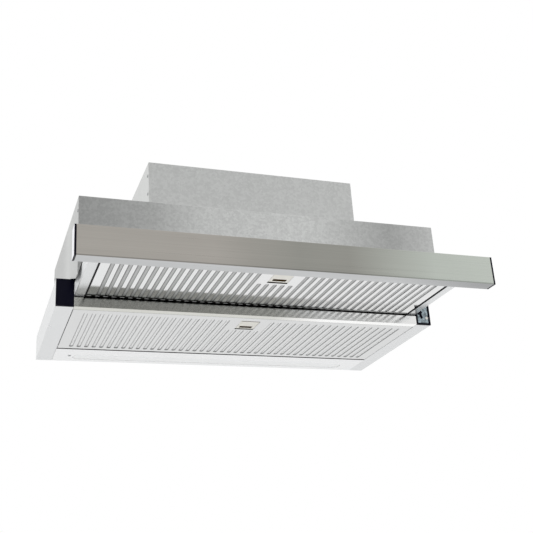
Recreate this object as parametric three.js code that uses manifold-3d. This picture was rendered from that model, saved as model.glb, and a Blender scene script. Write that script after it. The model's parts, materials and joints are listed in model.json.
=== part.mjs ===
// Pull-out range hood, 60 cm wide, shown with its drawer open. Millimetres, +Z up.
// The front of the hood faces -Y. The pieces are laid out with y = 0 at the front face
// of the lower frame and z = 0 at the frame's underside, and the whole hood is then
// moved so that the origin is under the middle of its box.
import * as THREE from 'three';
import { mergeVertices } from 'three/addons/utils/BufferGeometryUtils.js';
import Module from 'manifold-3d';

const wasm = await Module();
wasm.setup();

// ---- Driving dimensions -------------------------------------------------------------

// Sheet metal and fits. Joined solids run into each other by the weld, and a cutting solid
// runs past the piece.
const sheet = 0.8;
const seatGap = 0.3;
const flange = 12;
const shortFlange = 10;
const weld = 0.5;
const past = 1;

// Faces round a circle
const fineSides = 32;
const roundSides = 20;
const smallSides = 16;

// Lower frame: side rails, end caps, front rail and the light panel at the back
const frameWidth = 597;
const frameDepth = 272;
const frameHeight = 41.3;
const railWidth = 25.5;
const railRebate = 1.2;
const capThickness = 2.5;
const capRim = 2.4;
const capRecessDepth = 0.5;
const capStubLength = 12;
const capStubWall = 1.6;
const frontRailHeight = 14.3;
const frontRailReturn = 12.5;
const frontRailTop = 9;
const catchLip = 4.5;

// Body over the frame
const bodyInset = 20;
const bodyOverhang = 73.6;
const bodyDepth = 283.5;
const bodyTop = 138.8;
const legGap = 0.6;
const legBottom = 21.5;
const legFoot = 19;
const keyholeInset = 98.5;
const keyholeHeight = 112;
const keyholeRadius = 5;
const keyholeSlotWidth = 4.4;
const keyholeSlotLength = 11;

// Upper box round the fan
const upperInset = 110.5;
const upperRearInset = 24.9;
const upperSetback = 48.3;
const upperTop = 230.5;
const upperCutMargin = 4.5;

// Air outlet with its two non-return flaps
const outletRadius = 75;
const outletSetback = 117.3;
const outletHeight = 23;
const outletWall = 1.4;
const outletFlange = 5.5;
const outletFlangeThickness = 1.5;
const outletBead = 1;
const outletBeadDrop = 2;
const flapSeat = 3.6;
const flapSeatHeight = 4.2;
const flapSeatThickness = 1.2;
const flapBarEdge = 2;
const flapThickness = 1.2;
const flapClearance = 0.8;
const flapPivotSpacing = 12;
const flapPin = 1.5;
const flapPinRise = 0.5;
const flapHeel = 0.5;
const flapFaces = 12;
const pinClearance = 0.3;

// Fan: a wheel with two inlets in a scroll, and a motor inside the wheel
const wheelRadius = 65;
const wheelWidth = 84;
const wheelPlate = 1.6;
const hubOffset = -2;
const hubRadius = 11;
const hubLength = 12;
const bladeCount = 28;
const bladeDepth = 11.5;
const bladeThickness = 0.9;
const bladeInset = 0.6;
const bladeSweep = 0.16;
const bladeFaces = 2;
const scrollWidth = 94;
const scrollWall = 2.2;
const scrollStart = 70;
const scrollGrowth = 24;
const scrollFaces = 27;
const scrollCentreZ = 138;
const scrollSetForward = 3;
const scrollInlet = 50;
const scrollBell = 4;
const scrollBellWall = 2;
const scrollLip = 7;
const scrollLipThickness = 2;
const tongueAngle = 30;
const motorOffset = 4;
const motorRadius = 38;
const motorLength = 56;
const motorNose = 16;
const motorStep = 3;
const motorBand = 12;
const motorBore = 3.5;
const shaftRadius = 3;
const shaftEnd = 4;
const motorRing = 24;
const motorRingBore = 5;
const motorPlate = 2;
const motorArmWidth = 14;
const motorArmReach = 9;
const motorFoot = 8;

// Drawer, shown pulled out by its full stroke
const drawerTravel = 97.5;
const drawerClearance = 2.2;
const drawerSideGap = 0.4;
const drawerHeight = 19.5;
const drawerHeadroom = 0.9;
const drawerStrip = 14.8;
const drawerTopDepth = 110;
const drawerTopWideDepth = 72;
const drawerTopFold = 6;
const drawerFrontStrip = 22.4;
const rearBarGap = 1.3;
const rearBarDepth = 11;
const rearBarHeight = 7;
const fasciaOverhang = 0.5;
const fasciaHeight = 42.2;
const fasciaDepth = 20.4;
const fasciaDrop = 2;
const fasciaLip = 7;
const fasciaCap = 2.4;
const fasciaStub = 8;
const bracketInset = 69;
const bracketWidth = 40;
const bracketSheet = 1.2;
const bracketFit = 1.5;
const bracketDrop = 9;
const bracketFoot = 8;

// Telescopic slides
const slideLength = 190;
const slideSetback = 1.5;
const slideWall = 1;
const slideHeight = 17;
const slidePlay = 0.4;
const slideRoom = 10.6;
const slideShelfRise = 1.4;
const slideLap = 2.6;

// Filters
const slotPitch = 12;
const slotWidth = 6.3;
const slotEndFaces = 3;
const slotMargin = 12;
const trayHeight = 10;
const trayBend = 4;
const trayBendFaces = 5;
const hingePin = 1.7;
const hingePinLength = 2.6;
const hingeEar = 1.2;
const hingeEarGap = 0.4;
const upperSeam = 1.8;
const lowerSeam = 1.1;
const frontSeam = 0.5;
const rearSeam = 2.2;
const upperRearSetback = 1;
const meshThickness = 7.4;
const meshPitch = 18;
const meshGroove = 1.2;
const meshGap = 1;

// Filter latches
const latchWidth = 29.6;
const latchLength = 33;
const latchTravel = 4;
const latchInset = 0.8;
const latchGap = 2.4;
const latchPlay = 0.6;
const latchSideGap = 0.4;
const latchTongue = 14;
const latchTongueReach = 3.5;
const latchTongueRise = 0.5;
const latchTongueThickness = 1.6;
const latchRiserGap = 1.2;
const latchSheet = 1;
const latchRecess = 0.1;
const latchCarrier = 4.4;
const latchRoom = 7;
const fingerSlotWidth = 20.4;
const fingerSlotLength = 2.6;
const fingerSlotInset = 3.2;
const blankSlots = 5;
const shortSlotStart = 45;

// Lamp
const lampEnd = 31;
const lampEndFaces = 5;
const lampScrewOffset = 5.4;
const lampScrewForward = 5;
const lampPanelDepth = 66.5;
const lampWidth = 25.5;
const lampBack = 13;
const lampHousingHeight = 15;
const lampHousingRoom = 4;
const lampHousingFoot = 5;
const diffuserFit = 0.4;
const diffuserInset = 0.2;
const diffuserLip = 3;
const diffuserLipThickness = 1.6;
const screwRadius = 1.7;
const screwHeadRadius = 2.5;
const screwHeadRise = 0.4;
const screwLength = 8;
const ledCount = 16;
const ledSize = 3.2;
const ledRise = 0.8;
const ledBoardWidth = 12;
const ledBoardThickness = 1.4;
const ledBoardEnd = 3;
const driverLength = 90;
const driverPlace = 105;
const driverHeight = 18;
const driverEdge = 1.5;
const driverPlug = 8;
const driverPlugInset = 4;
const driverPlugDepth = 3;

// Control electronics
const controlLength = 110;
const controlWidth = 80;
const controlHeight = 38;
const controlWall = 1.6;
const controlInset = 24;
const controlSetback = 110;
const ventCount = 6;
const ventPitch = 14;
const ventWidth = 6;
const ventHeight = 12;
const postInset = 8;
const postRadius = 3;
const postHeight = 6;
const boardThickness = 1.6;
const boardMargin = 3;
const transformerLength = 26;
const transformerWidth = 24;
const transformerHeight = 16;
const relaySize = 12;
const relayHeight = 11;
const relayPitch = 18;
const relayCount = 3;
const partMargin = 10;
const capacitorRadius = 12;
const capacitorHeight = 22;
const capacitorEdge = 1;
const glandRadius = 6;
const glandBore = 3.6;
const glandDepth = 8;
const glandCollar = 3;
const glandCollarHeight = 4;
const glandHeight = 11;

// Hand controls on the right end cap
const controlFace = 1.2;
const buttonInset = 5.9;
const buttonHeight = 12;
const buttonRadius = 2.4;
const buttonProud = 0.9;
const buttonCollar = 0.8;
const buttonCollarLength = 2.8;
const leverInset = 8;
const leverWidth = 2.4;
const leverUpperArm = 8;
const leverUpperLean = 14;
const leverLowerArm = 10.2;
const leverLowerLean = 161;
const leverHub = 3.4;
const leverProud = 0.9;
const leverShaft = 1;
const leverCollar = 2.4;
const leverCollarLength = 1.2;

// ---- Places worked out from them ----------------------------------------------------

const frameHalf = frameWidth / 2;
const railInner = frameHalf - railWidth;
const railFront = capThickness + seatGap;
const bodyHalf = frameHalf - bodyInset;
const bodyFront = -bodyOverhang;
const bodyBack = bodyFront + bodyDepth;
const upperHalf = bodyHalf - upperInset;
const upperFront = bodyFront + upperSetback;
const upperBack = bodyBack - upperRearInset;
const outletY = upperFront + outletSetback;
const bodyFoot = frameHeight + seatGap;
const sideFoot = bodyFoot - railRebate;
const topPlate = bodyTop - sheet - seatGap;
const upperFoot = topPlate + seatGap;
const upperPlate = upperTop - sheet - seatGap;

const drawerHalf = railInner - drawerSideGap;
const drawerBottom = frontRailHeight + drawerClearance;
const drawerTop = drawerBottom + drawerHeight;
const slideDrawerFace = drawerHalf - sheet - seatGap;
const slideFrameFace = drawerHalf - slideRoom;
const drawerInner = slideFrameFace - seatGap;
const fasciaHalf = frameHalf + fasciaOverhang;
const fasciaBack = bodyFront - seatGap - drawerTravel;
const fasciaFront = fasciaBack - fasciaDepth;
const fasciaBottom = -fasciaDrop;
const fasciaTop = fasciaBottom + fasciaHeight;
const drawerFrontY = fasciaBack + seatGap;
const wallBottom = drawerTop + sheet + seatGap + drawerHeadroom;

const slideOuterStart = capThickness + slideSetback;
const slideBase = drawerBottom + sheet + seatGap;

const lampHalf = railInner - lampEnd;
const lightFront = frameDepth - lampPanelDepth;
const lightBack = frameDepth - lampBack;
const lightFrontEdge = lightBack - lampWidth;
const lightMiddle = (lightFrontEdge + lightBack) / 2;
const panelInside = sheet + seatGap;
const lampRoof = panelInside + lampHousingHeight;

const lowerTray = {
  half: railInner - lowerSeam,
  front: frontRailReturn + frontSeam,
  rear: lightFront - rearSeam,
  base: 0,
  rearMargin: slotMargin,
};
const upperTray = {
  half: drawerHalf - drawerStrip - upperSeam,
  front: drawerFrontY + drawerFrontStrip + frontSeam,
  rear: -upperRearSetback,
  base: drawerBottom,
  rearMargin: trayBend + weld,
};

const scrollHalf = scrollWidth / 2;
const scrollRadians = THREE.MathUtils.degToRad(tongueAngle);
const scrollFrontReach = scrollStart * Math.sin(scrollRadians);
const scrollBackReach = scrollStart + scrollGrowth;
const scrollCentreY = outletY - (scrollBackReach - scrollFrontReach) / 2 - scrollSetForward;
const scrollTop = upperPlate - sheet - seatGap;
const motorEnd = motorOffset + motorLength;

// ---- Solids -------------------------------------------------------------------------

function solidOf(geometry) {
  const bare = geometry.clone();
  bare.deleteAttribute('normal');
  bare.deleteAttribute('uv');
  const merged = mergeVertices(bare, 1e-4);
  return new wasm.Manifold(new wasm.Mesh({
    numProp: 3,
    vertProperties: Float32Array.from(merged.attributes.position.array),
    triVerts: Uint32Array.from(merged.index.array),
  }));
}

function geometryOf(solid) {
  const { vertProperties, triVerts } = solid.getMesh();
  const geometry = new THREE.BufferGeometry();
  geometry.setAttribute('position', new THREE.BufferAttribute(Float32Array.from(vertProperties), 3));
  geometry.setIndex(new THREE.BufferAttribute(Uint32Array.from(triVerts), 1));
  return geometry;
}

function join(first, ...others) {
  return others.reduce((sum, other) => sum.add(other), first);
}

function cut(first, ...others) {
  return others.reduce((rest, other) => rest.subtract(other), first);
}

function block(x0, x1, y0, y1, z0, z1) {
  const geometry = new THREE.BoxGeometry(x1 - x0, y1 - y0, z1 - z0);
  geometry.translate((x0 + x1) / 2, (y0 + y1) / 2, (z0 + z1) / 2);
  return solidOf(geometry);
}

// An outline drawn on one pair of axes, drawn out along the third.
const turns = {
  x: new THREE.Matrix4().set(0, 0, 1, 0, 1, 0, 0, 0, 0, 1, 0, 0, 0, 0, 0, 1),
  y: new THREE.Matrix4().set(0, 1, 0, 0, 0, 0, 1, 0, 1, 0, 0, 0, 0, 0, 0, 1),
  z: new THREE.Matrix4(),
};

function drawOut(axis, shapes, from, to, curveSegments = 4) {
  const depth = to - from;
  const geometry = new THREE.ExtrudeGeometry(shapes, { depth, bevelEnabled: false, curveSegments });
  geometry.translate(0, 0, from);
  geometry.applyMatrix4(turns[axis]);
  return solidOf(geometry);
}

function outline(points) {
  return new THREE.Shape(points.map(([a, b]) => new THREE.Vector2(a, b)));
}

// Outlines: alongX takes [y, z] points, alongY takes [x, z] and alongZ takes [x, y].
function alongX(points, x0, x1) {
  return drawOut('x', outline(points), x0, x1);
}

function alongY(points, y0, y1) {
  return drawOut('y', outline(points.map(([x, z]) => [z, x])), y0, y1);
}

function alongZ(points, z0, z1) {
  return drawOut('z', outline(points), z0, z1);
}

// The outline of a sheet folded along a line of points, its thickness on the line's left.
function folded(points, thickness = sheet) {
  const corners = points.map(([a, b]) => new THREE.Vector2(a, b));
  const runs = corners.slice(1).map((corner, i) => corner.clone().sub(corners[i]).normalize());
  const inner = corners.map((corner, i) => {
    const before = runs[Math.max(i - 1, 0)];
    const after = runs[Math.min(i, runs.length - 1)];
    const mitre = new THREE.Vector2(-before.y - after.y, before.x + after.x);
    return corner.clone().addScaledVector(mitre, thickness / (1 + before.dot(after)));
  });
  return [...corners, ...inner.reverse()].map((corner) => [corner.x, corner.y]);
}

// A round bar, hole or ring on an axis along x.
function rodX(radius, x0, x1, y, z, sides = roundSides) {
  const geometry = new THREE.CylinderGeometry(radius, radius, x1 - x0, sides);
  geometry.rotateZ(Math.PI / 2);
  geometry.translate((x0 + x1) / 2, y, z);
  return solidOf(geometry);
}

function rodY(radius, y0, y1, x, z, sides = roundSides) {
  const geometry = new THREE.CylinderGeometry(radius, radius, y1 - y0, sides);
  geometry.translate(x, (y0 + y1) / 2, z);
  return solidOf(geometry);
}

function rodZ(radius, z0, z1, x, y, sides = roundSides) {
  const geometry = new THREE.CylinderGeometry(radius, radius, z1 - z0, sides);
  geometry.rotateX(Math.PI / 2);
  geometry.translate(x, y, (z0 + z1) / 2);
  return solidOf(geometry);
}

// A closed [radius, height] profile turned about an upright axis.
function turned(profile, sides) {
  const points = [...profile, profile[0]].map(([r, z]) => new THREE.Vector2(r, z));
  const geometry = new THREE.LatheGeometry(points, sides);
  geometry.rotateX(Math.PI / 2);
  return solidOf(geometry);
}

// A slot along y whose ends are half rounds of a few faces.
function roundEndedSlot(x, y0, y1, width) {
  const radius = width / 2;
  const end = (y, start) => Array.from({ length: slotEndFaces + 1 }, (_, i) => {
    const angle = start + Math.PI * i / slotEndFaces;
    return [x + radius * Math.cos(angle), y + radius * Math.sin(angle)];
  });
  return outline([...end(y1 - radius, 0), ...end(y0 + radius, Math.PI)]);
}

function roundEndedBar(x0, x1, y0, y1) {
  const radius = (y1 - y0) / 2;
  const y = (y0 + y1) / 2;
  const shape = new THREE.Shape();
  shape.moveTo(x0 + radius, y0);
  shape.lineTo(x1 - radius, y0);
  shape.absarc(x1 - radius, y, radius, -Math.PI / 2, Math.PI / 2, false);
  shape.lineTo(x0 + radius, y1);
  shape.absarc(x0 + radius, y, radius, Math.PI / 2, 1.5 * Math.PI, false);
  return shape;
}

// ---- Materials ----------------------------------------------------------------------

function material(color, roughness, metalness) {
  return new THREE.MeshStandardMaterial({ color, roughness, metalness });
}

const brushedSteel = () => material(0xa09d97, 0.34, 1);
const galvanised = () => material(0xaab0ae, 0.42, 1);
const paintedSheet = () => material(0xdfe2e4, 0.35, 0.4);
const grilleSteel = () => material(0xdadcdd, 0.25, 0.9);
const aluminiumMesh = () => material(0xb9bbbb, 0.45, 0.9);
const blackPlastic = () => material(0x14171f, 0.3, 0);
const greyPlastic = () => material(0x5b6062, 0.4, 0);
const whitePlastic = () => material(0xe6e7e6, 0.5, 0);
const opalPlastic = () => material(0xf2f4f5, 0.4, 0);
const boardGreen = () => material(0x2d6b45, 0.6, 0);
const zincSteel = () => material(0x8d9092, 0.4, 1);

const hood = new THREE.Group();

function addPiece(name, solid, finish) {
  const mesh = new THREE.Mesh(geometryOf(solid), finish);
  mesh.name = name;
  hood.add(mesh);
}

function addPair(name, build, finish) {
  addPiece(`${name}_left`, build(-1), finish());
  addPiece(`${name}_right`, build(1), finish());
}

// The range in x of one piece of a pair, and a block or outline in it.
function sideSpan(side, x0, x1) {
  return side > 0 ? [x0, x1] : [-x1, -x0];
}

function sideBlock(side, x0, x1, ...rest) {
  return block(...sideSpan(side, x0, x1), ...rest);
}

function sideOutline(side, points) {
  return points.map(([x, z]) => [side * x, z]);
}

// ---- Lower frame --------------------------------------------------------------------

// A rail's outline in [x, z], with a rebate along its inner top edge for the body's side.
function railOutline(inset) {
  const inner = railInner + inset;
  const outer = frameHalf - inset;
  const top = frameHeight - inset;
  const step = bodyHalf + 2 * seatGap + inset;
  return [
    [inner, inset], [outer, inset], [outer, top], [step, top],
    [step, top - railRebate], [inner, top - railRebate],
  ];
}

function sideRail(side) {
  const tube = cut(
    alongY(sideOutline(side, railOutline(0)), railFront, frameDepth),
    alongY(sideOutline(side, railOutline(sheet)), railFront - past, frameDepth + past),
  );
  const { y, z } = hingeOf(lowerTray);
  const wall = sideSpan(side, railInner - past, railInner + sheet + past);
  return cut(tube, rodX(hingePin + pinClearance, ...wall, y, z, smallSides));
}

function hingeOf(tray) {
  return { y: tray.rear - trayBend, z: tray.base + trayBend };
}

function capBase(side) {
  const inset = sheet + seatGap;
  const stubEnd = capThickness + capStubLength;
  const stubTop = frameHeight - railRebate - inset;
  const plate = sideBlock(side, railInner, frameHalf, 0, capThickness, 0, frameHeight);
  const stub = cut(
    sideBlock(side, railInner + inset, frameHalf - inset, capThickness - weld, stubEnd, inset, stubTop),
    sideBlock(side, railInner + inset + capStubWall, frameHalf - inset - capStubWall,
      capThickness, stubEnd + past, inset + capStubWall, stubTop - capStubWall),
  );
  return join(plate, stub);
}

// The face inside a thin raised rim.
function capRecess(side, depth) {
  return sideBlock(side, railInner + capRim, frameHalf - capRim, -past, depth, capRim, frameHeight - capRim);
}

function endCapLeft() {
  return cut(capBase(-1), capRecess(-1, capRecessDepth));
}

const buttonPlace = { x: frameHalf - buttonInset, z: buttonHeight };
const leverPivot = { x: railInner + leverInset, z: frameHeight / 2 };

function endCapRight() {
  const hole = (radius, { x, z }) => rodY(radius + pinClearance, -past, capThickness + past, x, z);
  const holes = [hole(leverShaft, leverPivot), hole(buttonRadius, buttonPlace)];
  return cut(capBase(1), capRecess(1, controlFace), ...holes);
}

// A push button with a collar behind the cap's face.
function speedButton() {
  const collarFront = capThickness + seatGap;
  const collarBack = collarFront + buttonCollarLength;
  const { x, z } = buttonPlace;
  return join(
    rodY(buttonRadius, controlFace - buttonProud, collarBack, x, z),
    rodY(buttonRadius + buttonCollar, collarFront, collarBack, x, z),
  );
}

// A small rocker with two arms over the cap's face, on a shaft through it.
function controlLever() {
  const back = controlFace - seatGap;
  const collarFront = capThickness + seatGap;
  const collarBack = collarFront + leverCollarLength;
  const half = leverWidth / 2;
  const arm = (length, lean) => block(-half, half, -leverProud, back, 0, length).rotate([0, lean, 0]);
  return join(
    rodY(leverHub, -leverProud, back, 0, 0),
    arm(leverUpperArm, leverUpperLean),
    arm(leverLowerArm, leverLowerLean),
    rodY(leverShaft, -leverProud, collarBack, 0, 0, smallSides),
    rodY(leverCollar, collarFront, collarBack, 0, 0, smallSides),
  ).translate([leverPivot.x, 0, leverPivot.z]);
}

function frontRail() {
  const half = railInner - seatGap;
  return alongX(folded([
    [frontRailReturn, catchLip], [frontRailReturn, 0], [0, 0],
    [0, frontRailHeight], [frontRailTop, frontRailHeight],
  ].reverse()), -half, half);
}

const screwX = -lampHalf - lampScrewOffset;
const screwY = lightMiddle - lampScrewForward;

function lightPanel() {
  const half = railInner - seatGap;
  const deckUnderside = frameHeight - sheet - seatGap;
  const tray = alongX(folded([
    [lightFront, flange], [lightFront, 0], [frameDepth, 0], [frameDepth, deckUnderside],
    [frameDepth - flange, deckUnderside],
  ]), -half, half);
  const window = drawOut('z', lampShape(0), -past, sheet + past, lampEndFaces);
  return cut(tray, window, rodZ(screwRadius + pinClearance, -past, sheet + past, screwX, screwY, smallSides));
}

// The lamp's outline, larger all round by an amount.
function lampShape(by) {
  return roundEndedBar(-lampHalf - by, lampHalf + by, lightFrontEdge - by, lightBack + by);
}

function lightDiffuser() {
  const lens = lampShape(-diffuserFit);
  const lip = lampShape(diffuserLip);
  return join(
    drawOut('z', lens, diffuserInset, panelInside + diffuserInset, lampEndFaces),
    drawOut('z', lip, panelInside, panelInside + diffuserLipThickness, lampEndFaces),
  );
}

// An inverted channel with feet, over the diffuser.
function lampHousing() {
  const front = lightFrontEdge - lampHousingRoom;
  const back = lightBack + lampHousingRoom;
  const end = lampHalf + lampHousingRoom;
  return alongX(folded([
    [front - lampHousingFoot, panelInside], [front, panelInside], [front, lampRoof],
    [back, lampRoof], [back, panelInside], [back + lampHousingFoot, panelInside],
  ]), -end, end);
}

function ledBoard() {
  const top = lampRoof - seatGap;
  const under = top - ledBoardThickness;
  const half = lampHalf - ledBoardEnd;
  const edge = ledBoardWidth / 2;
  const board = block(-half, half, lightMiddle - edge, lightMiddle + edge, under, top);
  const led = ledSize / 2;
  const leds = Array.from({ length: ledCount }, (_, i) => {
    const x = -half + (2 * i + 1) * half / ledCount;
    return block(x - led, x + led, lightMiddle - led, lightMiddle + led, under - ledRise, under + weld);
  });
  return join(board, ...leds);
}

function ledDriver() {
  const base = panelInside;
  const top = base + driverHeight;
  const back = lightFrontEdge - lampHousingRoom - lampHousingFoot - seatGap;
  const front = lightFront + sheet + seatGap;
  const half = driverLength / 2;
  const body = alongX([
    [front, base], [back, base], [back, top - driverEdge], [back - driverEdge, top],
    [front + driverEdge, top], [front, top - driverEdge],
  ], -driverPlace - half, -driverPlace + half);
  const plug = (x) => block(x - driverPlug / 2, x + driverPlug / 2,
    front + 2 * driverEdge, back - 2 * driverEdge, top - driverPlugDepth, top + past);
  const reach = half - driverPlugInset - driverPlug / 2;
  return cut(body, plug(-driverPlace - reach), plug(-driverPlace + reach));
}

function lightScrew() {
  const top = -seatGap;
  const low = top - screwHeadRise;
  const head = turned([
    [0, low], [screwHeadRadius - screwHeadRise, low], [screwHeadRadius, low + screwHeadRise / 2],
    [screwHeadRadius, top], [0, top],
  ], smallSides);
  const shank = rodZ(screwRadius, low + screwHeadRise / 2, screwLength, 0, 0, smallSides);
  return join(head, shank).translate([screwX, screwY, 0]);
}

// Cover over the frame behind the body.
function rearDeck() {
  const half = railInner - seatGap;
  const front = bodyBack - shortFlange;
  return alongX(folded([
    [frameDepth, frameHeight], [front, frameHeight], [front, frameHeight - flange],
  ]), -half, half);
}

// ---- Body ---------------------------------------------------------------------------

function bodyFrontWall() {
  const wall = alongX(folded([
    [bodyFront + flange, bodyTop], [bodyFront, bodyTop], [bodyFront, wallBottom],
    [bodyFront + shortFlange, wallBottom],
  ]), -bodyHalf, bodyHalf);
  const legInner = drawerHalf + legGap;
  const leg = (side) => alongY(sideOutline(side, [
    [legInner, wallBottom], [bodyHalf - sheet, legBottom], [bodyHalf, legBottom],
    [bodyHalf, wallBottom + sheet], [legInner, wallBottom + sheet],
  ]), bodyFront, bodyFront + sheet);
  const corner = (side) => sideBlock(side, bodyHalf - sheet - seatGap, bodyHalf + past,
    bodyFront + sheet, bodyFront + flange, wallBottom - past, wallBottom + sheet + past);
  return cut(join(wall, leg(-1), leg(1)), corner(-1), corner(1));
}

// A side wall. In front of the frame its lower edge rises from the leg to the end cap's top,
// and behind the cap it stands in the rail's rebate.
function bodySide(side) {
  const front = bodyFront + sheet + seatGap;
  const back = bodyBack - sheet - seatGap;
  const panel = alongX([
    [front, legBottom], [front + legFoot, legBottom], [-2 * seatGap, bodyFoot], [railFront, bodyFoot],
    [railFront, sideFoot], [back, sideFoot], [back, bodyTop], [front, bodyTop],
  ], ...sideSpan(side, bodyHalf - sheet, bodyHalf));
  const inner = bodyHalf - flange;
  const outer = bodyHalf - sheet / 2;
  const topFlange = sideBlock(side, inner, outer,
    bodyFront + flange + seatGap, bodyBack - flange - seatGap, bodyTop - sheet, bodyTop);
  const footFlange = sideBlock(side, inner, outer, railFront, back - flange, sideFoot, sideFoot + sheet);
  const notches = cornerNotches(side, bodyHalf, bodyFront, bodyBack, bodyTop);
  return cut(join(panel, topFlange, footFlange), ...notches);
}

// Room in a side wall's top corners for the flanges of the walls in front and behind.
function cornerNotches(side, half, front, back, top) {
  return [front, back - flange - seatGap].map((y) => sideBlock(side, half - sheet - past, half + past,
    y, y + flange + seatGap, top - sheet - seatGap, top + past));
}

function bodyBackWall() {
  const wall = alongX(folded([
    [bodyBack - flange, bodyTop], [bodyBack, bodyTop],
    [bodyBack, bodyFoot], [bodyBack - shortFlange, bodyFoot],
  ].reverse()), -bodyHalf, bodyHalf);
  const keyholes = [-1, 1].map((side) => {
    const x = side * (bodyHalf - keyholeInset);
    const slot = keyholeSlotWidth / 2;
    return join(
      rodY(keyholeRadius, bodyBack - sheet - past, bodyBack + past, x, keyholeHeight),
      block(x - slot, x + slot, bodyBack - sheet - past, bodyBack + past,
        keyholeHeight, keyholeHeight + keyholeSlotLength),
    );
  });
  const corner = (side) => sideBlock(side, bodyHalf - flange - seatGap, bodyHalf + past,
    bodyBack - flange - past, bodyBack - sheet, bodyFoot - past, bodyFoot + sheet + seatGap);
  return cut(wall, ...keyholes, corner(-1), corner(1));
}

const glandPlace = {
  x: -bodyHalf + controlInset + controlWidth / 2,
  y: upperFront + controlSetback,
};

function bodyTopPlate() {
  const inset = sheet + seatGap;
  const low = topPlate - sheet;
  const half = bodyHalf - inset;
  const plate = block(-half, half, bodyFront + inset, bodyBack - inset, low, topPlate);
  const mouth = block(-upperHalf + flange, upperHalf - flange, upperFront + upperCutMargin,
    upperBack - flange, low - past, topPlate + past);
  const hole = rodZ(glandRadius + seatGap, low - past, topPlate + past, glandPlace.x, glandPlace.y);
  return cut(plate, mouth, hole);
}

// ---- Upper box ----------------------------------------------------------------------

function upperFrontWall() {
  const head = alongX(folded([
    [upperFront + flange, upperTop], [upperFront, upperTop], [upperFront, upperFoot],
  ]), -upperHalf, upperHalf);
  const foot = block(-upperHalf, upperHalf, upperFront - shortFlange, upperFront + sheet,
    upperFoot, upperFoot + sheet);
  return join(head, foot);
}

function upperBackWall() {
  const head = alongX(folded([
    [upperBack, upperFoot], [upperBack, upperTop], [upperBack - flange, upperTop],
  ]), -upperHalf, upperHalf);
  const foot = block(-upperHalf, upperHalf, upperBack - sheet, upperBack + shortFlange,
    upperFoot, upperFoot + sheet);
  return join(head, foot);
}

function upperSide(side) {
  const inset = sheet + seatGap;
  const front = upperFront + inset;
  const back = upperBack - inset;
  const web = sideBlock(side, upperHalf - sheet, upperHalf, front, back, upperFoot, upperTop);
  const head = sideBlock(side, upperHalf - flange, upperHalf - sheet / 2,
    upperFront + flange + seatGap, upperBack - flange - seatGap, upperTop - sheet, upperTop);
  const foot = sideBlock(side, upperHalf - sheet, upperHalf + shortFlange, front, back,
    upperFoot, upperFoot + sheet);
  const notches = cornerNotches(side, upperHalf, upperFront, upperBack, upperTop);
  return cut(join(web, head, foot), ...notches);
}

function upperTopPlate() {
  const inset = sheet + seatGap;
  const low = upperPlate - sheet;
  const half = upperHalf - inset;
  const plate = block(-half, half, upperFront + inset, upperBack - inset, low, upperPlate);
  return cut(plate, rodZ(outletRadius - outletWall, low - past, upperPlate + past, 0, outletY, fineSides));
}

// ---- Air outlet ---------------------------------------------------------------------

const outletBase = upperPlate + seatGap;
const outletTop = outletBase + outletHeight;
const outletBore = outletRadius - outletWall;
const seatTop = outletBase + flapSeatHeight + flapSeatThickness;
const flapBase = seatTop + seatGap;
const pivotZ = seatTop + flapPin + flapPinRise;
const pivotY = flapPivotSpacing / 2;

// A collar with a foot, a bead that holds the duct's clip, and a seat inside for the flaps.
function outletSpigot() {
  const bead = outletTop - outletBeadDrop;
  const beadRadius = outletRadius + outletBead;
  const foot = outletBase + outletFlangeThickness;
  const collar = turned([
    [outletBore - flapSeat, seatTop - flapSeatThickness], [outletBore, seatTop - 2 * flapSeatThickness],
    [outletBore, outletBase], [outletRadius + outletFlange, outletBase], [outletRadius + outletFlange, foot],
    [outletRadius, foot], [outletRadius, bead - 3 * outletBead], [beadRadius, bead - 2 * outletBead],
    [beadRadius, bead - outletBead], [outletRadius, bead], [outletRadius, outletTop],
    [outletBore, outletTop], [outletBore, seatTop], [outletBore - flapSeat, seatTop],
  ], fineSides);
  const barEdge = pivotY + flapBarEdge;
  const bar = block(-outletBore + weld, outletBore - weld, -barEdge, barEdge, seatTop - flapBarEdge, seatTop);
  const reach = beadRadius + past;
  const pinHoles = [-1, 1].map((side) => rodX(flapPin + pinClearance, -reach, reach,
    side * pivotY, pivotZ, smallSides));
  return cut(join(collar, bar), ...pinHoles).translate([0, outletY, 0]);
}

// Half a disc with a pin along its straight edge. side is +1 for the back flap.
function outletFlap(side) {
  const radius = outletBore - flapClearance;
  const near = pivotY - flapHeel;
  const start = Math.asin(near / radius);
  const shape = new THREE.Shape();
  shape.absarc(0, 0, radius, start, Math.PI - start, false);
  const disc = drawOut('z', shape, flapBase, flapBase + flapThickness, flapFaces);
  const reach = Math.sqrt((outletRadius - seatGap) ** 2 - pivotY ** 2);
  const pin = rodX(flapPin, -reach, reach, pivotY, pivotZ, flapFaces);
  const flap = join(disc, pin);
  return (side > 0 ? flap : flap.rotate([0, 0, 180])).translate([0, outletY, 0]);
}

// ---- Fan ----------------------------------------------------------------------------

// The scroll's outline in [y, z]: a spiral from the tongue round to the back, then straight up.
function scrollOutline(inset, top) {
  const end = 1.5 * Math.PI;
  const spiral = Array.from({ length: scrollFaces + 1 }, (_, i) => {
    const angle = scrollRadians + (end - scrollRadians) * i / scrollFaces;
    const radius = scrollStart + scrollGrowth * i / scrollFaces - inset;
    return [scrollCentreY - radius * Math.sin(angle), scrollCentreZ + radius * Math.cos(angle)];
  });
  const backWall = scrollCentreY + scrollBackReach - inset;
  const frontWall = scrollCentreY - scrollFrontReach + inset;
  spiral[0][0] = frontWall;
  return [...spiral, [backWall, top], [frontWall, top]];
}

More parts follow.
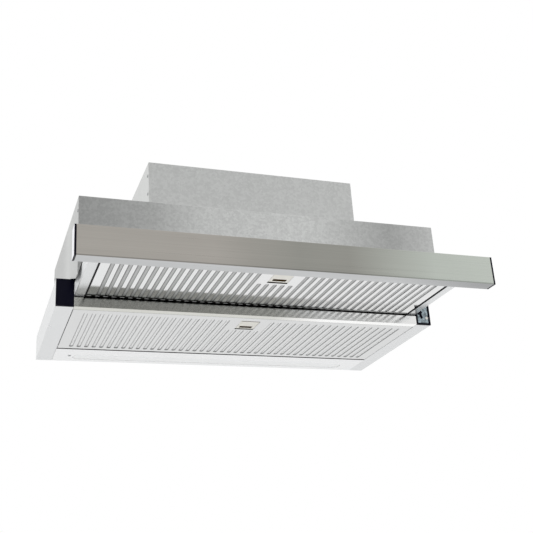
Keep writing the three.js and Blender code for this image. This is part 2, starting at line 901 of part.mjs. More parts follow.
function scrollSide(side) {
  const along = (x0, x1) => sideSpan(side, x0, x1);
  const round = (radius, x0, x1) => rodX(radius, ...along(x0, x1), scrollCentreY, scrollCentreZ, fineSides);
  const bellEnd = scrollHalf + scrollBell;
  const bell = round(scrollInlet + scrollBellWall, scrollHalf - weld, bellEnd);
  const room = alongX(scrollOutline(scrollWall, scrollTop + past), ...along(-past, scrollHalf - scrollWall));
  const shell = alongX(scrollOutline(0, scrollTop), ...along(seatGap / 2, scrollHalf));
  const back = scrollCentreY + scrollBackReach;
  const front = scrollCentreY - scrollFrontReach;
  const lip = sideBlock(side, seatGap / 2, scrollHalf + scrollLip, front - scrollLip, back + scrollLip,
    scrollTop - scrollLipThickness, scrollTop);
  const mouth = round(scrollInlet, scrollHalf - scrollWall - past, bellEnd + past);
  return cut(join(shell, bell, lip), room, mouth);
}

// One forward-curved blade, as [y, z] round the wheel's axis.
function bladeOutline() {
  const arc = (offset) => Array.from({ length: bladeFaces + 1 }, (_, i) => {
    const t = i / bladeFaces;
    const radius = wheelRadius - bladeInset - bladeDepth * (1 - t);
    const angle = bladeSweep * t * t + offset / radius;
    return [radius * Math.cos(angle), radius * Math.sin(angle)];
  });
  return [...arc(0), ...arc(bladeThickness).reverse()];
}

function impeller() {
  const half = wheelWidth / 2;
  const inner = wheelRadius - bladeDepth;
  const blade = alongX(bladeOutline(), -half + weld, half - weld);
  const blades = Array.from({ length: bladeCount }, (_, i) => blade.rotate([360 * i / bladeCount, 0, 0]));
  const ring = (x0, x1) => cut(
    rodX(wheelRadius, x0, x1, 0, 0, fineSides),
    rodX(inner - past, x0 - past, x1 + past, 0, 0, fineSides),
  );
  const hub = join(
    rodX(inner + scrollBellWall, hubOffset - wheelPlate, hubOffset, 0, 0, fineSides),
    rodX(hubRadius, hubOffset - hubLength, hubOffset - weld, 0, 0),
    rodX(shaftRadius, hubOffset - weld, motorEnd + shaftEnd, 0, 0, smallSides),
  );
  const wheel = join(hub, ring(-half, -half + wheelPlate), ring(half - wheelPlate, half), ...blades);
  return wheel.translate([0, scrollCentreY, scrollCentreZ]);
}

// A ribbed motor can, hollow along its axis for the shaft.
function fanMotor() {
  const end = motorLength;
  const neck = motorRadius - motorStep;
  const edge = 2 * motorStep;
  const can = turned([
    [motorBore, 0], [motorNose, 0], [motorNose + motorStep, motorStep], [neck, motorStep],
    [motorRadius, edge], [motorRadius, edge + motorBand], [neck, edge + motorBand + motorStep],
    [neck, end - edge - motorBand - motorStep], [motorRadius, end - edge - motorBand],
    [motorRadius, end - edge], [neck, end - motorStep], [motorNose, end - motorStep],
    [motorNose - motorStep, end], [motorBore, end],
  ], roundSides);
  return can.rotate([0, 90, 0]).translate([motorOffset, scrollCentreY, scrollCentreZ]);
}

// A ring behind the motor on three arms that reach back to the scroll's side.
function motorBracket() {
  const front = motorEnd + seatGap;
  const back = front + motorPlate;
  const foot = scrollHalf + seatGap;
  const reach = scrollInlet + motorArmReach;
  const half = motorArmWidth / 2;
  const ring = cut(
    rodX(motorRing, front, back, 0, 0),
    rodX(motorRingBore, front - past, back + past, 0, 0, smallSides),
  );
  const arms = [90, 210, 330].map((angle) => join(
    block(front, back, motorRing - motorFoot, reach, -half, half),
    block(foot, back, reach - motorPlate, reach, -half, half),
    block(foot, foot + motorPlate, reach - motorPlate, reach + motorFoot, -half, half),
  ).rotate([angle, 0, 0]));
  return join(ring, ...arms).translate([0, scrollCentreY, scrollCentreZ]);
}

// ---- Control electronics ------------------------------------------------------------

const control = {
  x0: -bodyHalf + controlInset,
  x1: -bodyHalf + controlInset + controlWidth,
  y0: glandPlace.y - controlLength / 2,
  y1: glandPlace.y + controlLength / 2,
  top: topPlate - sheet - seatGap,
  bottom: topPlate - sheet - seatGap - controlHeight,
};

function controlBox() {
  const { x0, x1, y0, y1, top, bottom } = control;
  const shell = cut(
    block(x0, x1, y0, y1, bottom, top),
    block(x0 + controlWall, x1 - controlWall, y0 + controlWall, y1 - controlWall,
      bottom - past, top - controlWall),
    rodZ(glandRadius + seatGap, top - controlWall - past, top + past, glandPlace.x, glandPlace.y),
  );
  const vents = Array.from({ length: ventCount }, (_, i) => {
    const y = y0 + (i + 1) * ventPitch;
    return block(x1 - controlWall - past, x1 + past, y, y + ventWidth,
      bottom + ventHeight, bottom + 2 * ventHeight);
  });
  return cut(shell, ...vents);
}

function controlCover() {
  const { x0, x1, y0, y1, bottom } = control;
  const under = bottom - seatGap;
  const plate = block(x0, x1, y0, y1, under - controlWall, under);
  const posts = [x0 + postInset, x1 - postInset].flatMap((x) => [y0 + postInset, y1 - postInset].map((y) => (
    rodZ(postRadius, under - weld, under + postHeight, x, y, smallSides))));
  return join(plate, ...posts);
}

const boardTop = control.bottom + postHeight + boardThickness;

function circuitBoard() {
  const { x0, x1, y0, y1 } = control;
  const board = block(x0 + boardMargin, x1 - boardMargin, y0 + boardMargin, y1 - boardMargin,
    boardTop - boardThickness, boardTop);
  const onBoard = (x, y, width, length, height) => (
    block(x, x + width, y, y + length, boardTop - weld, boardTop + height));
  const x = x0 + partMargin;
  const y = y0 + partMargin;
  const relayStart = y + transformerLength + partMargin;
  const transformer = onBoard(x, y, transformerWidth, transformerLength, transformerHeight);
  const relays = Array.from({ length: relayCount }, (_, i) => (
    onBoard(x, relayStart + i * relayPitch, relaySize, relaySize, relayHeight)));
  return join(board, transformer, ...relays);
}

function capacitor() {
  const base = boardTop + seatGap;
  const top = base + capacitorHeight;
  const neck = capacitorRadius - capacitorEdge;
  const margin = partMargin + capacitorRadius;
  return turned([
    [0, base], [neck, base], [capacitorRadius, base + capacitorEdge], [capacitorRadius, top - capacitorEdge],
    [neck, top], [0, top],
  ], roundSides).translate([control.x1 - margin, control.y0 + margin, 0]);
}

// The cable's inlet through the top of the body, with no cable in it.
function cableGland() {
  const base = topPlate + seatGap;
  const low = control.top - glandDepth;
  const collarTop = base + glandCollarHeight;
  const neck = glandRadius + glandCollar / 2;
  const top = base + glandHeight;
  return turned([
    [glandBore, low], [glandRadius, low], [glandRadius, base], [glandRadius + glandCollar, base],
    [glandRadius + glandCollar, collarTop], [neck, collarTop + glandCollar / 2], [neck, top - glandCollar],
    [glandBore + glandCollar / 2, top], [glandBore, top],
  ], smallSides).translate([glandPlace.x, glandPlace.y, 0]);
}

// ---- Telescopic slides --------------------------------------------------------------

// A C section given by its web's face and how far its two flanges reach.
function slideSection(side, webFace, reach, low, high) {
  const line = [[reach, low], [webFace, low], [webFace, high], [reach, high]];
  const inwards = reach < webFace;
  return sideOutline(side, folded(inwards ? line : line.reverse(), slideWall));
}

// The fixed member hangs from a shelf over the drawer's wall, which ends in a tab on the rail.
function slideOuter(side) {
  const start = slideOuterStart;
  const high = slideBase + slideHeight;
  const section = slideSection(side, slideFrameFace, slideDrawerFace - slideLap, slideBase, high);
  const shelfTop = drawerTop + slideShelfRise + slideWall;
  const tabFace = railInner - seatGap - slideWall;
  const hanger = sideOutline(side, folded([
    [tabFace, frameHeight - railRebate], [tabFace, shelfTop], [slideFrameFace, shelfTop],
    [slideFrameFace, high - slideWall],
  ], slideWall));
  return join(alongY(section, start, start + slideLength), alongY(hanger, start, start + slideLength));
}

function slideMiddle(side) {
  const inset = slideWall + slidePlay;
  const start = slideOuterStart - drawerTravel / 2;
  const section = slideSection(side, slideFrameFace + inset, slideDrawerFace - slideLap + slideWall,
    slideBase + inset, slideBase + slideHeight - inset);
  return alongY(section, start, start + slideLength);
}

function slideInner(side) {
  const inset = 2 * (slideWall + slidePlay);
  const start = slideOuterStart - drawerTravel;
  const section = slideSection(side, slideDrawerFace, slideFrameFace + inset,
    slideBase + inset, slideBase + slideHeight - inset);
  return alongY(section, start, start + slideLength);
}

// ---- Drawer -------------------------------------------------------------------------

const drawerRear = slideOuterStart - drawerTravel + slideLength + slideSetback;

// An outer wall with a strip under the slide, which holds the filter's edge.
function drawerSide(side) {
  return alongY(sideOutline(side, folded([
    [drawerHalf - drawerStrip, drawerBottom], [drawerHalf, drawerBottom], [drawerHalf, drawerTop],
  ])), drawerFrontY + sheet + seatGap, drawerRear);
}

function drawerFrontPanel() {
  const lipY = drawerFrontY + drawerFrontStrip;
  const lipTop = drawerBottom + catchLip;
  const profile = folded([
    [lipY, lipTop], [lipY, drawerBottom], [drawerFrontY, drawerBottom], [drawerFrontY, drawerTop],
  ].reverse());
  const panel = alongX(profile, -drawerHalf, drawerHalf);
  const inner = drawerHalf - drawerStrip - seatGap;
  const corner = (side) => sideBlock(side, inner, drawerHalf + past, drawerFrontY + sheet, lipY + past,
    drawerBottom - past, lipTop + past);
  return cut(panel, corner(-1), corner(1));
}

// A cover as wide as the drawer in front, and narrower where it runs between the slides.
function drawerTopPlate() {
  const low = drawerTop + seatGap;
  const top = low + sheet;
  const front = drawerFrontY;
  const back = front + drawerTopDepth;
  const line = [[back, low - drawerTopFold], [back, top], [front, top]];
  const narrow = alongX(folded(line), -drawerInner, drawerInner);
  const wide = block(-drawerHalf, drawerHalf, front, front + drawerTopWideDepth, low, top);
  return join(narrow, wide);
}

// An angle behind the upper filter, with an ear for each of its hinge pins.
function drawerRearBar() {
  const half = drawerInner;
  const low = drawerBottom + sheet + seatGap;
  const top = low + rearBarHeight;
  const face = upperTray.rear + rearBarGap;
  const angle = alongX(folded([[face + rearBarDepth, low], [face, low], [face, top]].reverse()), -half, half);
  const { y, z } = hingeOf(upperTray);
  const earX = upperTray.half + hingeEarGap;
  const earEnd = earX + hingeEar;
  const ears = [-1, 1].map((side) => cut(
    sideBlock(side, earX, earEnd, y - trayBend, face + sheet / 2, low, top),
    rodX(hingePin + pinClearance, ...sideSpan(side, earX - past, earEnd + past), y, z, smallSides),
  ));
  return join(angle, ...ears);
}

function fasciaChannel() {
  const half = fasciaHalf - fasciaCap - seatGap;
  return alongX(folded([
    [fasciaBack, fasciaTop - fasciaLip], [fasciaBack, fasciaTop], [fasciaFront, fasciaTop],
    [fasciaFront, fasciaBottom], [fasciaBack, fasciaBottom], [fasciaBack, fasciaBottom + fasciaLip],
  ]), -half, half);
}

function fasciaEnd(side) {
  const inset = sheet + seatGap;
  const core = inset + capStubWall;
  const face = fasciaHalf - fasciaCap;
  const plate = sideBlock(side, face, fasciaHalf, fasciaFront, fasciaBack, fasciaBottom, fasciaTop);
  const stub = cut(
    sideBlock(side, face - fasciaStub, face + weld,
      fasciaFront + inset, fasciaBack - inset, fasciaBottom + inset, fasciaTop - inset),
    sideBlock(side, face - fasciaStub - past, face,
      fasciaFront + core, fasciaBack - core, fasciaBottom + core, fasciaTop - core),
  );
  return join(plate, stub);
}

// A folded bracket between the drawer's front wall and the inside of the fascia.
function fasciaBracket(side) {
  const near = fasciaFront + sheet + seatGap;
  const far = drawerFrontY - seatGap;
  const low = drawerBottom + bracketFit;
  const foot = low - bracketDrop;
  const high = Math.min(drawerTop, fasciaTop - fasciaLip) - bracketFit;
  const middle = side * (fasciaHalf - bracketInset);
  return alongX(folded([
    [far - bracketFoot, foot], [near, foot], [near, high], [far, high], [far, low],
  ].reverse(), bracketSheet), middle - bracketWidth / 2, middle + bracketWidth / 2);
}

// ---- Filters ------------------------------------------------------------------------

// The tray's outline in [y, z]. Its rear bend is round the hinge pins, so it turns in place.
function trayOutline(tray, inset, height) {
  const { y, z } = hingeOf(tray);
  const radius = trayBend - inset;
  const bend = Array.from({ length: trayBendFaces + 1 }, (_, i) => {
    const angle = (Math.PI / 2) * (i / trayBendFaces - 1);
    return [y + radius * Math.cos(angle), z + radius * Math.sin(angle)];
  });
  const front = tray.front + inset;
  const top = tray.base + height;
  return [[front, top], [front, tray.base + inset], ...bend, [tray.rear - inset, top]];
}

function slotRow(tray) {
  const start = tray.front + slotMargin;
  const end = tray.rear - tray.rearMargin;
  const aside = Math.floor((tray.half - slotMargin) / slotPitch);
  return Array.from({ length: 2 * aside + 1 }, (_, i) => {
    const place = i - aside;
    const short = Math.abs(place) <= (blankSlots - 1) / 2;
    return roundEndedSlot(place * slotPitch, start + (short ? shortSlotStart : 0), end, slotWidth);
  });
}

function latchPlaces(tray) {
  const windowFront = tray.front + slotMargin + latchInset;
  const plateFront = windowFront + latchGap;
  const plateBack = plateFront + latchLength;
  const tongueLow = tray.base + catchLip + latchTongueRise;
  return {
    windowFront,
    windowBack: plateBack + latchTravel + latchPlay,
    plateFront,
    plateBack,
    tongueLow,
    tongueHigh: tongueLow + latchTongueThickness,
  };
}

function grille(tray) {
  const half = tray.half;
  const shell = cut(
    alongX(trayOutline(tray, 0, trayHeight), -half, half),
    alongX(trayOutline(tray, sheet, trayHeight + past), -half + sheet, half - sheet),
  );
  const { y, z } = hingeOf(tray);
  const pinSpan = (side) => sideSpan(side, half - sheet / 2, half + hingePinLength);
  const pin = (side) => rodX(hingePin, ...pinSpan(side), y, z, smallSides);
  const low = tray.base - past;
  const high = tray.base + sheet + weld;
  const slots = drawOut('z', slotRow(tray), low, high);
  const latch = latchPlaces(tray);
  const windowHalf = latchWidth / 2 + latchSideGap;
  const window = block(-windowHalf, windowHalf, latch.windowFront, latch.windowBack, low, high);
  const slitHalf = latchTongue / 2 + latchPlay;
  const slit = block(-slitHalf, slitHalf, tray.front - past, tray.front + sheet + weld,
    latch.tongueLow - latchSideGap, latch.tongueHigh + latchSideGap);
  return cut(join(shell, pin(-1), pin(1)), slots, window, slit);
}

// Layers of expanded aluminium, as one pad with pleats, cut back round the latch.
function filterMesh(tray) {
  const low = tray.base + sheet + seatGap;
  const high = low + meshThickness;
  const half = tray.half - sheet - meshGap;
  const count = Math.floor(2 * half / meshPitch);
  const pitch = 2 * half / count;
  const zigzag = (base, depth) => Array.from({ length: 2 * count + 1 }, (_, i) => (
    [-half + i * pitch / 2, base + (i % 2) * depth]));
  const pad = alongY([...zigzag(low, meshGroove), ...zigzag(high - meshGroove, meshGroove).reverse()],
    tray.front + sheet + meshGap, tray.rear - trayBend - meshGap);
  const roomHalf = latchWidth / 2 + latchRoom;
  const roomBack = latchPlaces(tray).plateBack + latchTravel + latchRoom / 2;
  return cut(pad, block(-roomHalf, roomHalf, tray.front - past, roomBack, low - past, high + past));
}

// A slider flush with the grille, with a finger slot and a tongue that reaches over the catch lip.
function latchSlider(tray) {
  const { plateFront, plateBack, tongueLow, tongueHigh } = latchPlaces(tray);
  const low = tray.base + sheet + seatGap;
  const high = low + latchSheet;
  const half = latchWidth / 2;
  const tongueHalf = latchTongue / 2;
  const riser = tray.front + sheet + latchRiserGap;
  const riserBack = riser + latchTongueThickness;
  const fingerEnd = plateBack - fingerSlotInset;
  const fingerHalf = fingerSlotWidth / 2;
  return cut(
    join(
      block(-half, half, plateFront, plateBack, tray.base + latchRecess, high),
      block(-half - latchCarrier, half + latchCarrier, plateFront - latchTravel, plateBack + past, low, high),
      block(-tongueHalf, tongueHalf, riser, plateFront, low, high),
      block(-tongueHalf, tongueHalf, riser, riserBack, low, tongueHigh),
      block(-tongueHalf, tongueHalf, tray.front - latchTongueReach, riserBack, tongueLow, tongueHigh),
    ),
    block(-fingerHalf, fingerHalf, fingerEnd - fingerSlotLength, fingerEnd, tray.base - past, high + past),
  );
}

// ---- The hood -----------------------------------------------------------------------

addPair('side_rail', sideRail, paintedSheet);
addPiece('end_cap_left', endCapLeft(), blackPlastic());
addPiece('end_cap_right', endCapRight(), blackPlastic());
addPiece('speed_button', speedButton(), whitePlastic());
addPiece('control_lever', controlLever(), blackPlastic());
addPiece('front_rail', frontRail(), brushedSteel());
addPiece('light_panel', lightPanel(), paintedSheet());
addPiece('light_diffuser', lightDiffuser(), opalPlastic());
addPiece('lamp_housing', lampHousing(), galvanised());
addPiece('led_board', ledBoard(), whitePlastic());
addPiece('led_driver', ledDriver(), whitePlastic());
addPiece('light_screw', lightScrew(), zincSteel());
addPiece('rear_deck', rearDeck(), galvanised());

addPiece('body_front', bodyFrontWall(), galvanised());
addPair('body_side', bodySide, galvanised);
addPiece('body_back', bodyBackWall(), galvanised());
addPiece('body_top', bodyTopPlate(), galvanised());
addPiece('upper_front', upperFrontWall(), galvanised());
addPair('upper_side', upperSide, galvanised);
addPiece('upper_back', upperBackWall(), galvanised());
addPiece('upper_top', upperTopPlate(), galvanised());

addPiece('outlet_spigot', outletSpigot(), blackPlastic());
addPiece('flap_back', outletFlap(1), greyPlastic());
addPiece('flap_front', outletFlap(-1), greyPlastic());

addPair('scroll', scrollSide, greyPlastic);
addPiece('impeller', impeller(), greyPlastic());
addPiece('fan_motor', fanMotor(), zincSteel());
addPiece('motor_bracket', motorBracket(), zincSteel());

addPiece('control_box', controlBox(), greyPlastic());
addPiece('control_cover', controlCover(), greyPlastic());
addPiece('circuit_board', circuitBoard(), boardGreen());
addPiece('capacitor', capacitor(), whitePlastic());
addPiece('cable_gland', cableGland(), blackPlastic());

addPair('slide_outer', slideOuter, zincSteel);
addPair('slide_middle', slideMiddle, zincSteel);
addPair('slide_inner', slideInner, zincSteel);

addPair('drawer_side', drawerSide, paintedSheet);
addPiece('drawer_front', drawerFrontPanel(), paintedSheet());
addPiece('drawer_top', drawerTopPlate(), galvanised());
addPiece('drawer_rear_bar', drawerRearBar(), galvanised());
addPiece('fascia', fasciaChannel(), brushedSteel());
addPair('fascia_cap', fasciaEnd, blackPlastic);
addPair('fascia_bracket', fasciaBracket, zincSteel);

addPiece('upper_grille', grille(upperTray), grilleSteel());
addPiece('upper_mesh', filterMesh(upperTray), aluminiumMesh());
addPiece('upper_latch', latchSlider(upperTray), whitePlastic());
addPiece('lower_grille', grille(lowerTray), grilleSteel());
addPiece('lower_mesh', filterMesh(lowerTray), aluminiumMesh());
addPiece('lower_latch', latchSlider(lowerTray), whitePlastic());

hood.position.set(0, -(fasciaFront + frameDepth) / 2, -fasciaBottom);

export default hood;
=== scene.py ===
"""Pull-out range hood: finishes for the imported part, its small dressed pieces and a plain studio."""

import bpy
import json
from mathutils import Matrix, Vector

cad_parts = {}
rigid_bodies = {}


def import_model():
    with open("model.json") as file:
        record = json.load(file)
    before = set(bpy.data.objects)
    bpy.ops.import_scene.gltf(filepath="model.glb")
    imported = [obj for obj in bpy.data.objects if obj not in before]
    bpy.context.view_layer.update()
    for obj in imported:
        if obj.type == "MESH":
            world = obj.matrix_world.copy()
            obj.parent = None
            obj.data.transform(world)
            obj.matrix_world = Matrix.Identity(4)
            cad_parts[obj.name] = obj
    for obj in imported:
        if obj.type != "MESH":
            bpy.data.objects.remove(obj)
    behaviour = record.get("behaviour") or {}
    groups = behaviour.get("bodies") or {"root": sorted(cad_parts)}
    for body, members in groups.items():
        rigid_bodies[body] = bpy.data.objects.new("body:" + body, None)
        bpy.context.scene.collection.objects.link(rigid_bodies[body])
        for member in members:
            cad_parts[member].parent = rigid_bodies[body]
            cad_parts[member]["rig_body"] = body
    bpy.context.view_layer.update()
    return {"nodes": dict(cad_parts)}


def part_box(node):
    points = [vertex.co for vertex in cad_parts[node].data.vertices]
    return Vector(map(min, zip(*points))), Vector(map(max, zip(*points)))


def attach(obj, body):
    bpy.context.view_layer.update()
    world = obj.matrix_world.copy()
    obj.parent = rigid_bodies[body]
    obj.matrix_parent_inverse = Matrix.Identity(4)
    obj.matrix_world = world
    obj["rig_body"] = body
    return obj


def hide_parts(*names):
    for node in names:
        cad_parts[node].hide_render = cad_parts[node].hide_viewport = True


bl_info = {
    "name": "Pull-out hood",
    "version": (1, 0, 0),
    "blender": (4, 5, 0),
    "location": "View3D > Sidebar > Hood",
    "description": "Finishes a pull-out range hood and sets it in a plain white studio",
    "category": "Object",
}

import json
import math

import bmesh
import bpy
from bpy.props import FloatProperty, FloatVectorProperty, IntProperty, PointerProperty
from mathutils import Matrix, Vector

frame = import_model()
nodes = frame["nodes"]


# ---- Settings ---------------------------------------------------------------------------


def colour(name, description, value):
    return FloatVectorProperty(
        name=name, description=description, default=value, subtype="COLOR", size=3, min=0.0, max=1.0
    )


def length(name, description, value, soft_max=0.1):
    return FloatProperty(
        name=name, description=description, default=value, min=0.0, soft_max=soft_max,
        subtype="DISTANCE", unit="LENGTH",
    )


def watts(name, description, value):
    return FloatProperty(
        name=name, description=description, default=value, min=0.0, subtype="POWER", unit="POWER"
    )


class HoodColours(bpy.types.PropertyGroup):
    """Colours of the sheets and plastics."""

    # The fascia's left, dark and right tones paint a reflection: a drift in tone from left to right, darkest right
    # of the middle.
    fascia_left: colour("Fascia, left", "Brushed steel at the fascia's left end", (0.515, 0.490, 0.450))
    fascia_painted_dark: colour("Fascia, dark zone", "Brushed steel right of the middle", (0.380, 0.378, 0.345))
    fascia_right: colour("Fascia, right", "Brushed steel at the fascia's right end", (0.590, 0.630, 0.577))
    # The underside's own lighter, neutral tone is a painted lit copy of the fascia's steel.
    fascia_under: colour("Fascia, underside", "Brushed steel under the fascia", (0.545, 0.555, 0.560))
    rail: colour("Front rail", "Polished steel of the front rail", (0.635, 0.635, 0.590))
    galvanised: colour("Galvanised", "Zinc-coated sheet of the body", (0.640, 0.650, 0.640))
    painted: colour("Silver sheet", "Pale silver sheet of the frame", (0.700, 0.710, 0.715))
    panel: colour("Light panel", "Pale silver sheet round the lamp", (0.830, 0.835, 0.840))
    upper_grille: colour("Upper grille", "Satin sheet of the upper filter", (0.780, 0.785, 0.785))
    grille: colour("Lower grille", "Satin sheet of the lower filter", (0.655, 0.660, 0.660))
    # The two filters' meshes are alike; the upper is painted as a shaded copy and the lower as a lit copy.
    mesh: colour("Upper mesh", "Layers of mesh in the upper filter", (0.520, 0.525, 0.525))
    bright_mesh: colour("Lower mesh", "Layers of mesh in the lower filter", (0.760, 0.765, 0.765))
    black: colour("Black plastic", "End caps and duct collar", (0.002, 0.002, 0.007))
    # This black is for the strips in the seams round the filters, which make the seams dark.
    rubber: colour("Black rubber", "Gaskets of the filters", (0.004, 0.004, 0.005))
    control: colour("Control plate", "Blue-grey plate in the right end cap", (0.300, 0.360, 0.390))
    # This dark tone is painted shade in the latches' finger slots and in the gap before the lower latch.
    liner: colour("Slot liner", "Dark felt behind the latches' slots", (0.050, 0.032, 0.012))
    grey: colour("Grey plastic", "Fan, flaps and control box", (0.100, 0.108, 0.112))
    white: colour("White plastic", "Boards, driver and button", (0.780, 0.770, 0.740))
    latch: colour("Latch plastic", "Warm white of the latches", (0.665, 0.650, 0.600))
    opal: colour("Opal plastic", "Diffuser of the lamp", (0.840, 0.850, 0.850))
    zinc: colour("Zinc plate", "Slides, brackets and screws", (0.420, 0.430, 0.430))
    board: colour("Circuit board", "Solder mask of the board", (0.020, 0.110, 0.050))
    track: colour("Tracks", "Copper tracks under the solder mask", (0.060, 0.210, 0.080))


class HoodShape(bpy.types.PropertyGroup):
    """Sizes of the folds, edges and fasteners."""

    fold_radius: length("Fold radius", "Outer radius of the folds in the sheet", 0.0009, 0.005)
    fold_faces: IntProperty(name="Fold faces", description="Faces across a fold", default=3, min=1, max=6)
    fold_width: length("Least fold width", "Faces narrower than this belong to a cut edge", 0.0020, 0.01)
    cut_radius: length("Edge radius", "Radius of the cut edges and of plastic edges", 0.00022, 0.002)
    rivet_radius: length("Rivet head", "Radius of the rivets in the sheets", 0.0024, 0.01)
    rivet_rise: length("Rivet rise", "Height of a rivet's head", 0.0009, 0.005)
    screw_radius: length("Screw head", "Radius of the pan heads", 0.0021, 0.01)
    screw_rise: length("Screw rise", "Height of a screw's head", 0.0012, 0.005)
    # Black strips in the seams beside the upper filter and the light panel
    seam_strip_width: length("Gasket width", "Width of the black strips beside the upper filter", 0.0023, 0.005)
    seam_strip_height: length("Gasket height", "Height of the beads beside the upper filter", 0.0008, 0.005)
    seam_strip_lap: length("Gasket lap", "How far the beads lap the drawer's side strips", 0.0008, 0.005)
    seam_width: length("Seam width", "From the light panel to the far side of its gasket", 0.0012, 0.005)
    slot_pitch: length("Slot pitch", "Distance between the filters' slots", 0.012, 0.03)
    finger_width: length("Finger slot", "Width of the slots in the latches", 0.0204, 0.05)
    finger_length: length("Finger slot length", "Length of the slots in the latches", 0.0080, 0.01)
    finger_inset: length("Finger slot inset", "Distance from a latch's rear edge to its slot", 0.0042, 0.01)
    latch_length: length("Latch plate", "Distance from a latch's rear edge to its plate's front edge", 0.034, 0.1)
    cap_rim: length("Cap rim", "Width of the end cap's rim round the control plate", 0.0035, 0.01)


class HoodStudio(bpy.types.PropertyGroup):
    """The camera, the lamps and the room."""

    lens: FloatProperty(name="Lens", description="Focal length on a 36 mm sensor, in mm", default=61.22, min=10.0)
    floor_drop: length("Floor below", "Height of the hood's lowest edge over the floor", 1.3, 2.0)
    world_level: FloatProperty(name="Room level", description="Strength of the room's light", default=0.6, min=0.0)
    key_power: watts("Key lamp", "Power of the front left lamp", 38.0)
    fill_power: watts("Low lamp", "Power of the lamp under the front", 15.0)


# ---- Materials --------------------------------------------------------------------------

WHITE = (1.0, 1.0, 1.0)
HALF_WIDTH = 0.299


def greys(*stops):
    """Stops of a ramp, from places and tones."""
    return [(place, (tone, tone, tone)) for place, tone in stops]


# Painted shade along the fascia's fold, from its lower edge up; and the fascia's underside, plain at the left and
# the middle and with painted shade at its right end
FOLD_PAINTED_SHADE = greys((0.0, 1.0), (0.10, 0.62), (0.42, 0.66), (0.60, 1.0))
FOLD_REACH = 0.004
UNDERSIDE_TOP = 0.0004
UNDERSIDE_SHADE_STOPS = ((0.0, 1.0), (0.74, 1.0), (0.97, 0.62))
# The painted shade and reflection at the upper filter's rear fade out between these places along x, and so does the
# painted shade on the strips behind it
REAR_FADE = (0.06, 0.17)
STRIP_FADE = (0.05, 0.17)
# Widths of the diamonds in the expanded mesh
DIAMOND = (0.0030, 0.0046)


def feed(tree, node, inputs):
    """Links a socket, or sets a value, on each of a node's named inputs."""
    for name, value in inputs.items():
        if isinstance(value, bpy.types.NodeSocket):
            tree.links.new(value, node.inputs[name])
        else:
            node.inputs[name].default_value = value


def add(tree, kind, inputs=None, **settings):
    """A shader node with its settings and inputs."""
    node = tree.nodes.new(kind)
    for key, value in settings.items():
        setattr(node, key, value)
    feed(tree, node, inputs or {})
    return node


def new_material(name):
    material = bpy.data.materials.new(name)
    material.use_nodes = True
    return material, material.node_tree, material.node_tree.nodes["Principled BSDF"]


def place_of(tree, stretch=(1, 1, 1)):
    """Object coordinates, stretched."""
    coordinates = add(tree, "ShaderNodeTexCoord").outputs["Object"]
    return add(tree, "ShaderNodeMapping", {"Vector": coordinates, "Scale": stretch}).outputs["Vector"]


def along(tree, axis):
    """The object coordinate along one axis."""
    return add(tree, "ShaderNodeSeparateXYZ", {"Vector": place_of(tree)}).outputs[axis]


def noise(tree, scale=1.0, stretch=(1, 1, 1), detail=2.0, roughness=0.6):
    inputs = {"Vector": place_of(tree, stretch), "Scale": scale, "Detail": detail, "Roughness": roughness}
    return add(tree, "ShaderNodeTexNoise", inputs).outputs["Fac"]


def calc(tree, operation, first, second):
    return add(tree, "ShaderNodeMath", {0: first, 1: second}, operation=operation).outputs[0]


def between(tree, value, low, high, out_low=0.0, out_high=1.0):
    """A value taken from one range to another, and held at its ends."""
    inputs = {"Value": value, "From Min": low, "From Max": high, "To Min": out_low, "To Max": out_high}
    return add(tree, "ShaderNodeMapRange", inputs).outputs["Result"]


def ramp(tree, value, stops):
    node = add(tree, "ShaderNodeValToRGB", {"Fac": value})
    elements = node.color_ramp.elements
    while len(elements) < len(stops):
        elements.new(0.5)
    for element, (position, shade) in zip(elements, stops):
        element.position = position
        element.color = (*shade, 1.0)
    return node.outputs["Color"]


def opaque(shade):
    """A plain colour with its alpha; a socket stays as it is."""
    return shade if isinstance(shade, bpy.types.NodeSocket) else (*shade, 1.0)


def mix(tree, factor, first, second, blend="MIX"):
    """From the first colour to the second as the factor rises."""
    inputs = {"Factor": factor, "A": opaque(first), "B": opaque(second)}
    return add(tree, "ShaderNodeMix", inputs, data_type="RGBA", blend_type=blend).outputs["Result"]


def choose(tree, factor, first, second):
    """The first shader where the factor is 0, the second where it is 1."""
    return add(tree, "ShaderNodeMixShader", {0: factor, 1: first, 2: second}).outputs[0]


def product(tree, first, second):
    """Two colours multiplied."""
    return mix(tree, 1.0, first, second, "MULTIPLY")


def grey(tree, value):
    return add(tree, "ShaderNodeCombineColor", {"Red": value, "Green": value, "Blue": value}).outputs["Color"]


def tinted(tree, shade, value, low, high):
    """A colour made darker or lighter by a noise, whose values lie mostly between 0.25 and 0.75."""
    return product(tree, shade, grey(tree, between(tree, value, 0.25, 0.75, low, high)))


def swung(tree, shade, value, swing):
    """A colour that a noise makes darker and lighter by the same share."""
    return tinted(tree, shade, value, 1.0 - swing, 1.0 + swing)


def raise_surface(tree, shader, height, distance, strength):
    bump = add(tree, "ShaderNodeBump", {"Height": height, "Distance": distance, "Strength": strength})
    tree.links.new(bump.outputs["Normal"], shader.inputs["Normal"])


